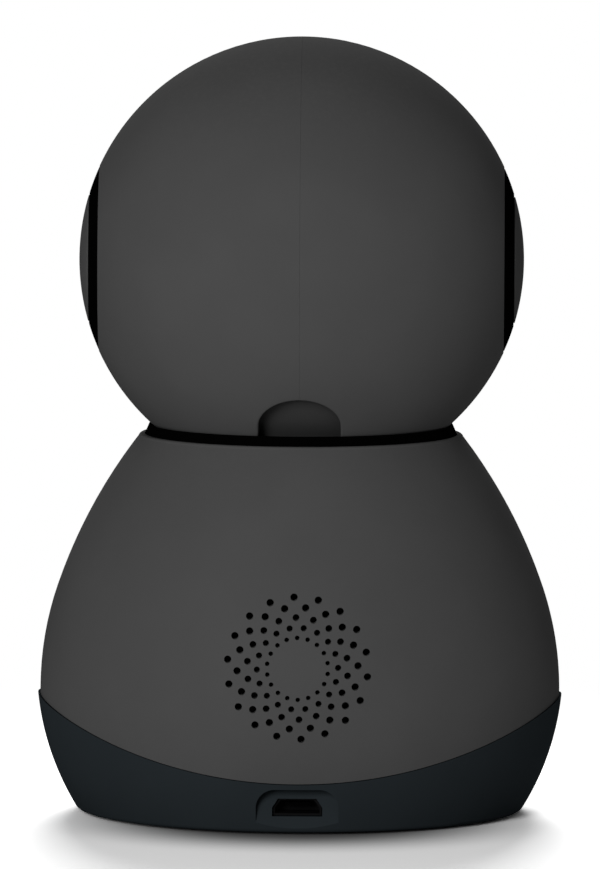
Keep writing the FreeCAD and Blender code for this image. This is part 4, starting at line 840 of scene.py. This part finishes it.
# %% Dark rings in the gaps
SHADE_RING_INSIDE, SHADE_RING_OUTSIDE, SHADE_RING_FACE, SHADE_RING_BACK, SHADE_RING_ROUND = 12.6, 14.3, 31.81, 31.88, 0.02
shade_ring_corners = [
    (SHADE_RING_INSIDE, SHADE_RING_BACK), (SHADE_RING_INSIDE, SHADE_RING_FACE, SHADE_RING_ROUND), (SHADE_RING_OUTSIDE, SHADE_RING_FACE, SHADE_RING_ROUND),
    (SHADE_RING_OUTSIDE, SHADE_RING_BACK), (SHADE_RING_INSIDE, SHADE_RING_BACK),
]
shade_ring = turned(rounded(shade_ring_corners), centre=(0, 0, HEAD_CENTRE), axis="x")
# A black ring in each gap: painted shade standing in for the dark inside of the gap.
add_pair("gap_shade_ring", [shade_ring], "pan_carriage", "black_plastic")

# %% [markdown]
# # Window of the face
# The front of the camera is a domed black window that lets only infrared light through, bored for the lens.
# A scaled half ball would bend too much at the rim of so flat a dome. So the profile follows an arc of
# 60 mm, and is turned about the line that the camera looks along.

# %% Window of the face
WINDOW_DOME, WINDOW_WALL, WINDOW_RADIUS, WINDOW_RIM, WINDOW_BORE = 60.0, 1.4, 20.1, 17.6, 7.45
WINDOW_ROUND, BORE_EDGE, ARC_MARGIN = 0.3, 0.25, 0.5
ARC_POINTS, HOLLOW_POINTS, WINDOW_TURNS = 24, 12, 144
dome_centre = FACE_PLANE - away_at(WINDOW_RADIUS, WINDOW_DOME)


def dome_at(away, radius):
    """Place of a dome's point along the view: the dome's centre plus the height of its arc."""
    return dome_centre + away_at(away, radius)


def toward_face(corners, turns=96):
    """A profile of (distance from the view axis, place towards the face, radius), turned about that axis."""
    return turned(rounded(corners) * (1, -1), turns, (0, 0, HEAD_CENTRE), "y")


slope = np.linspace(WINDOW_RADIUS - ARC_MARGIN, WINDOW_BORE + ARC_MARGIN, ARC_POINTS)
hollow = np.linspace(WINDOW_BORE, WINDOW_RIM, HOLLOW_POINTS)
window_corners = [
    (WINDOW_RIM, FACE_SEAT), (WINDOW_RADIUS, FACE_SEAT), (WINDOW_RADIUS, FACE_PLANE, WINDOW_ROUND),
    *[(away, dome_at(away, WINDOW_DOME)) for away in slope],
    (WINDOW_BORE, dome_at(WINDOW_BORE, WINDOW_DOME), BORE_EDGE),
    *[(away, dome_at(away, WINDOW_DOME - WINDOW_WALL)) for away in hollow],
    (WINDOW_RIM, FACE_SEAT),
]
window = toward_face(window_corners, WINDOW_TURNS)
add_piece("window_dome", [window], "head", "window_gloss", ["face_window"])

# %% [markdown]
# # Hood, holding ring and glass of the lens
# Round the lens stands a hood with steps inside, which stop stray light, and under it a ring holds the
# glass. Rings stacked on each other would leave gaps that the light finds, so each piece is one closed
# profile whose corners are the steps.

# %% Hood of the lens
HOOD_INSIDE, HOOD_OUTSIDE, HOOD_FOOT, HOOD_TOP, HOOD_ROUND = 5.2, 7.4, 27.4, 31.9, 0.45
MOUTH, MOUTH_ROUND = 6.4, 0.15
STEP_DEPTH, STEP_ROUND = 0.45, 0.05
STEP_WIDTHS = ((6.3, 6.0), (5.95, 5.65), (5.6, 5.35))
hood_corners = [
    (HOOD_INSIDE, HOOD_FOOT), (HOOD_OUTSIDE, HOOD_FOOT), (HOOD_OUTSIDE, HOOD_TOP, HOOD_ROUND),
    (MOUTH, HOOD_TOP, MOUTH_ROUND),
]
for number, (wide, narrow) in enumerate(STEP_WIDTHS, start=1):
    level = HOOD_TOP - number * STEP_DEPTH
    hood_corners += [(wide, level), (narrow, level, STEP_ROUND)]
hood_corners += [(HOOD_INSIDE, level - STEP_DEPTH), (HOOD_INSIDE, HOOD_FOOT)]
add_piece("lens_hood", [toward_face(hood_corners)], "head", "ring_gloss", ["lens_ring"])

# %% Ring that holds the glass
RING_OUTSIDE, RING_INSIDE, RING_FOOT, RING_TOP, RING_ROUND = 5.12, 3.6, 28.7, 30.0, 0.1
RING_STEPS = ((4.6, 29.95, STEP_ROUND), (4.55, 29.8), (4.1, 29.75, STEP_ROUND), (4.05, 29.62))
RING_LIP = 29.56
ring_corners = [
    (RING_OUTSIDE, RING_FOOT), (RING_OUTSIDE, RING_TOP, RING_ROUND), *RING_STEPS,
    (RING_INSIDE, RING_LIP, STEP_ROUND), (RING_INSIDE, RING_FOOT), (RING_OUTSIDE, RING_FOOT),
]
add_piece("lens_holder", [toward_face(ring_corners)], "head", "black_plastic")

# %% Glass of the lens
GLASS_EDGE, GLASS_BEND, GLASS_FOOT, GLASS_SHOULDER, GLASS_POINTS = 5.1, 8.16, 27.4, 28.6, 20
glass_centre = GLASS_SHOULDER - away_at(GLASS_EDGE, GLASS_BEND)
glass_corners = [(0, GLASS_FOOT), (GLASS_EDGE, GLASS_FOOT)]
for away in np.linspace(GLASS_EDGE, 0, GLASS_POINTS):
    glass_corners.append((away, glass_centre + away_at(away, GLASS_BEND)))
add_piece("lens_dome", [toward_face(glass_corners)], "head", "lens_coated", ["lens_glass"])

# %% [markdown]
# # Feet
# Four rubber feet keep the monitor from sliding; their soles have raised rings that grip. The rings could
# be a bump in the rubber, but they are deep enough to catch the light, so they are corners of the profile.

# %% Feet
FOOT_PLACE, FOOT_RADIUS, FOOT_HIGH, FOOT_ROUND, FOOT_SHOULDER = 18.385, 4.0, 1.0, 0.1, 0.5
RING_START, RING_PITCH, RING_DEPTH, SOLE_MARGIN = 0.5, 0.8, 0.15, 0.7
RING_SHAPE = ((0, RING_DEPTH), (0.1, 0), (0.4, 0), (0.5, RING_DEPTH))
foot_corners = [(0, RING_DEPTH)]
for ring in np.arange(RING_START, FOOT_RADIUS - SOLE_MARGIN, RING_PITCH):
    foot_corners += [(ring + across, up) for across, up in RING_SHAPE]
foot_corners += [
    (FOOT_RADIUS - FOOT_ROUND, RING_DEPTH, FOOT_ROUND), (FOOT_RADIUS, FOOT_SHOULDER, FOOT_ROUND),
    (FOOT_RADIUS, FOOT_HIGH), (0, FOOT_HIGH),
]
for number, (across, back) in enumerate(((1, 1), (-1, 1), (-1, -1), (1, -1)), start=1):
    foot = turned(rounded(foot_corners), turns=72, centre=(across * FOOT_PLACE, back * FOOT_PLACE, 0))
    add_piece(f"foot_{number}", [foot], "base", "foot_rubber", [f"rubber_foot_{number}"])

# %% [markdown]
# # Thread of the tripod insert
# In the middle of the base a brass insert takes a tripod's screw. A Screw modifier would leave the helix
# with open ends. Here the thread is a ridge whose phase advances with height and falls with the angle, one
# turn to each pitch, so a single formula gives the whole helix and lets it run out.

# %% Threaded insert
PITCH, THREAD_DEPTH, CORE = 1.27, 0.42, 2.6
INSERT_RADIUS, INSERT_LOW, INSERT_HIGH, INSERT_ROUND = 4.2, 0.4, 8.0, 0.2
RUN_OUT, RIDGE_GAIN, RIDGE_ROOT = 0.3, 1.4, 0.2
THREAD_ROWS, THREAD_COLUMNS = 90, 97
height = np.linspace(INSERT_LOW, INSERT_HIGH, THREAD_ROWS)[:, None]
angle = np.linspace(0, math.tau, THREAD_COLUMNS)
ridge = 1 - np.abs(2 * np.mod(height / PITCH - angle / math.tau, 1) - 1)
run_out = np.clip(np.minimum(height - INSERT_LOW, INSERT_HIGH - height) / RUN_OUT, 0, 1)
away = CORE + THREAD_DEPTH * np.clip(RIDGE_GAIN * ridge - RIDGE_ROOT, 0, 1) * run_out
thread = np.stack([away * np.cos(angle), away * np.sin(angle), height + 0 * angle], axis=-1)
sleeve = turned(rounded([
    (CORE, INSERT_HIGH), (INSERT_RADIUS, INSERT_HIGH, INSERT_ROUND),
    (INSERT_RADIUS, INSERT_LOW, INSERT_ROUND), (CORE, INSERT_LOW),
]))
add_piece("threaded_insert", [thread, sleeve], "base", "insert_brass", ["tripod_insert"])

# %% [markdown]
# # Pairing button
# A small plunger in the floor starts the pairing. Its end is dished for a pin, which a plain cylinder would
# not show, and a collar keeps it from falling out. All of that is one turned profile.

# %% Pairing button
BUTTON_BACK = -16
DISH = ((0, 1.05), (0.5, 1.0), (1.0, 0.88), (1.3, 0.8, 0.05))
TIP, TIP_LOW, TIP_ROUND = 1.5, 0.8, 0.12
COLLAR, COLLAR_LOW, COLLAR_TOP = 2.4, 2.7, 3.4
STEM, STEM_TOP, EDGE_ROUND = 1.1, 4.2, 0.1
button_corners = [
    *DISH, (TIP, TIP_LOW, TIP_ROUND), (TIP, COLLAR_LOW), (COLLAR, COLLAR_LOW),
    (COLLAR, COLLAR_TOP, EDGE_ROUND), (STEM, COLLAR_TOP), (STEM, STEM_TOP, EDGE_ROUND), (0, STEM_TOP),
]
button = turned(rounded(button_corners), turns=64, centre=(0, BUTTON_BACK, 0))
add_piece("dished_button", [button], "pair_button", "frame_plastic", ["reset_button"])

# %% [markdown]
# # Contacts of the power socket
# Five gilt leaves lie on the tongue of the socket. Thin blocks would do from afar, but a real leaf dives
# into the plastic at its front end, where a plug would catch it. Here a small loop is carried along a path
# that sinks in a quarter circle at its end.

# %% Contacts
TONGUE_BELOW, LEAF_HALF, LEAF_THICK = 4.6, 0.17, 0.06
LEAF_START, LEAF_LENGTH, DIVE_FROM = 29.8, 3.7, 0.85
ROW_HALF, LEAF_COUNT, LEAF_ROWS = 1.3, 5, 14
reach = np.linspace(0, 1, LEAF_ROWS)[:, None]
loop = np.array([(-1, 0), (-0.9, 0.7), (-0.6, 1), (0.6, 1), (0.9, 0.7), (1, 0), (1, -1), (-1, -1), (-1, 0)])
dive = np.clip((reach - DIVE_FROM) / (1 - DIVE_FROM), 0, 1)
sink = LEAF_THICK * (1 - np.sqrt(np.clip(1 - dive ** 2, 0, 1)))
for number, across in enumerate(np.linspace(-ROW_HALF, ROW_HALF, LEAF_COUNT), start=1):
    leaf = np.stack([
        across + LEAF_HALF * loop[:, 0] + 0 * reach,
        LEAF_START + LEAF_LENGTH * reach + 0 * loop[:, 0],
        TONGUE_BELOW - LEAF_THICK * loop[:, 1] + sink,
    ], axis=-1)
    add_piece(f"socket_contact_{number}", [leaf], "base", "insert_brass")

# %% [markdown]
# # Cone of the speaker
# Behind the ninety holes sits a small paper cone: a dome in the middle, a slope with pressed rings, and a
# half-round roll at the rim that lets it move. Three meshes could be joined for that, but one function of
# the distance from the middle gives all three. Front and back are that function, a little apart.

# %% Speaker cone
SPEAKER_FACE, SPEAKER_HEIGHT, CONE_RIM, CONE_THICK = 33.0, 26.55, 12.3, 0.4
DOME_EDGE, DOME_RISE, DOME_DEPTH = 3.8, 1.2, -3.8
SLOPE_DEPTH, SLOPE_RISE, PRESSED_HEIGHT, PRESSED_PITCH = -3.9, 2.5, 0.07, 1.1
ROLL_EDGE, ROLL_RISE, ROLL_DEPTH = 10.2, 0.5, -1.35
ROLL_HALF, CONE_POINTS = (CONE_RIM - ROLL_EDGE) / 2, 110


def cone_depth(away):
    """A dome inside its edge, then a slope with fine rings, then a half-round roll up to the rim."""
    dome = DOME_DEPTH + DOME_RISE * np.sqrt(np.clip(1 - (away / DOME_EDGE) ** 2, 0, 1))
    pressed = PRESSED_HEIGHT * np.sin(away * math.tau / PRESSED_PITCH)
    slope = SLOPE_DEPTH + SLOPE_RISE * (away - DOME_EDGE) / (ROLL_EDGE - DOME_EDGE) + pressed
    bend = (away - ROLL_EDGE - ROLL_HALF) / ROLL_HALF
    roll = ROLL_DEPTH + ROLL_RISE * np.sqrt(np.clip(1 - bend ** 2, 0, 1))
    return np.where(away < DOME_EDGE, dome, np.where(away < ROLL_EDGE, slope, roll))


away = np.linspace(0, CONE_RIM, CONE_POINTS)
front = np.stack([away, SPEAKER_FACE + cone_depth(away)], axis=-1)
back = (front - (0, CONE_THICK))[::-1]
cone = turned(np.concatenate([front, back]), centre=(0, 0, SPEAKER_HEIGHT), axis="y")
add_piece("ribbed_cone", [cone], "base", "cone_paper", ["speaker_cone"])

# %% [markdown]
# # Floor
# The monitor stands on a white table before white. A floor bright enough to be white everywhere would lose
# the shadow. So the floor is a middling white that takes the shadow, and the camera sees its light raised
# by a factor. Near the base it also carries a painted shadow: a soft dark patch centred a little ahead of
# the base, towards the camera. Further out it is plain white, so no horizon shows.

# %% Rays that see the white studio
WHITE = (1, 1, 1, 1)


def seen_by_eye(tree):
    """1 for rays that come from the camera, from gloss or through clear pieces, and 0 for all others."""
    path = add_node(tree, "ShaderNodeLightPath").outputs
    seen = reckon(tree, "MAXIMUM", path["Is Camera Ray"], path["Is Glossy Ray"])
    return reckon(tree, "MAXIMUM", seen, path["Is Transmission Ray"])


# %% Finish of the floor
FLOOR_TONE, FLOOR_RAISE, FLOOR_GRAIN = 0.55, 1.8, 0.01
SHADE_RADIUS, CLEAR_RADIUS = 70, 190
# Painted shadow on the floor: a soft dark circle centred a little ahead of the base.
PAINTED_SHADOW_AHEAD, PAINTED_SHADOW_INNER, PAINTED_SHADOW_OUTER, PAINTED_SHADOW_LEVEL = 19, 15, 42, 0.1


def floor_finish():
    """Matt white. The camera sees its light and shadow raised by a factor, with a painted shadow just ahead
    of the base, and plain white further out.
    """
    material, tree, shader, place = start_material("floor_white", Roughness=0.9, Specular_IOR_Level=0.0)
    shader.inputs["Base Color"].default_value = (FLOOR_TONE, FLOOR_TONE, FLOOR_TONE, 1)
    texture = place_effect(tree, GRAIN, place, Grain_size=1.5)
    finish_material(tree, shader, height=texture["Height"], depth=FLOOR_GRAIN)
    # Painted shadow: the raised light falls to a tenth inside a soft circle centred just ahead of the base.
    ahead = reckon_vector(tree, "DISTANCE", place, (0, PAINTED_SHADOW_AHEAD * MM, 0), output=1)
    painted_shadow = (PAINTED_SHADOW_INNER * MM, PAINTED_SHADOW_OUTER * MM, PAINTED_SHADOW_LEVEL * FLOOR_RAISE, FLOOR_RAISE)
    raised = add_node(tree, "ShaderNodeBsdfDiffuse", {"Color": between(tree, ahead, *painted_shadow)})
    away = reckon_vector(tree, "LENGTH", place, output=1)
    far = between(tree, away, SHADE_RADIUS * MM, CLEAR_RADIUS * MM)
    white = add_node(tree, "ShaderNodeEmission", {"Color": WHITE, "Strength": 1.0})
    shown = {0: far, 1: raised.outputs["BSDF"], 2: white.outputs["Emission"]}
    shown = add_node(tree, "ShaderNodeMixShader", shown).outputs["Shader"]
    mixed = {0: seen_by_eye(tree), 1: shader.outputs["BSDF"], 2: shown}
    mixed = add_node(tree, "ShaderNodeMixShader", mixed).outputs["Shader"]
    tree.links.new(mixed, tree.nodes["Material Output"].inputs["Surface"])
    return material


# %% Floor
FLOOR_HALF, FLOOR_DROP = 1500, 0.02
floor_data = bpy.data.meshes.new("floor")
corners = np.array([(-1, -1, 0), (1, -1, 0), (1, 1, 0), (-1, 1, 0)]) * FLOOR_HALF - (0, 0, FLOOR_DROP)
floor_data.from_pydata((corners * MM).tolist(), [], [(0, 1, 2, 3)])
floor_data.materials.append(floor_finish())
floor = bpy.data.objects.new("floor", floor_data)
bpy.context.scene.collection.objects.link(floor)
print("width of the floor in mm:", 2 * FLOOR_HALF)

# %% [markdown]
# # Lamps
# In the photograph the shadow falls towards the camera and fans out, and the left side is a little lighter.
# A sun lamp would draw a hard shadow. A large square lamp stands behind the monitor, low enough for a long
# shadow, and a smaller one stands to the left of the camera.


# %% Lamps
def soft_lamp(name, place, width, power):
    """A square lamp of a width in mm that looks at the middle of the monitor."""
    data = bpy.data.lights.new(name, "AREA")
    data.size = width * MM
    data.energy = power
    lamp = bpy.data.objects.new(name, data)
    bpy.context.scene.collection.objects.link(lamp)
    lamp.location = Vector(place) * MM
    lamp.rotation_euler = (aim - lamp.location).to_track_quat("-Z", "Y").to_euler()
    print(name, "has", power, "watts")


soft_lamp("key_lamp", place=(600, 1900, 520), width=640, power=30)
soft_lamp("back_lamp", place=(0, -1740, 870), width=750, power=46)

# %% [markdown]
# # Dome of light
# A faint dome lights the shadows from everywhere. If it were as white as the background looks, it would
# wash out the dark plastic. So it is plain white only to the rays that see it, and faint to all others.

# %% Dome and view
DOME_STRENGTH = 0.16
world = bpy.data.worlds.new("studio")
bpy.context.scene.world = world
world.use_nodes = True
sky = world.node_tree
strength = between(sky, seen_by_eye(sky), 0.0, 1.0, DOME_STRENGTH, 1.0)
sky.nodes["Background"].inputs["Color"].default_value = WHITE
sky.links.new(strength, sky.nodes["Background"].inputs["Strength"])
bpy.context.scene.view_settings.view_transform = "Standard"
print("strength of the dome as a lamp:", DOME_STRENGTH)
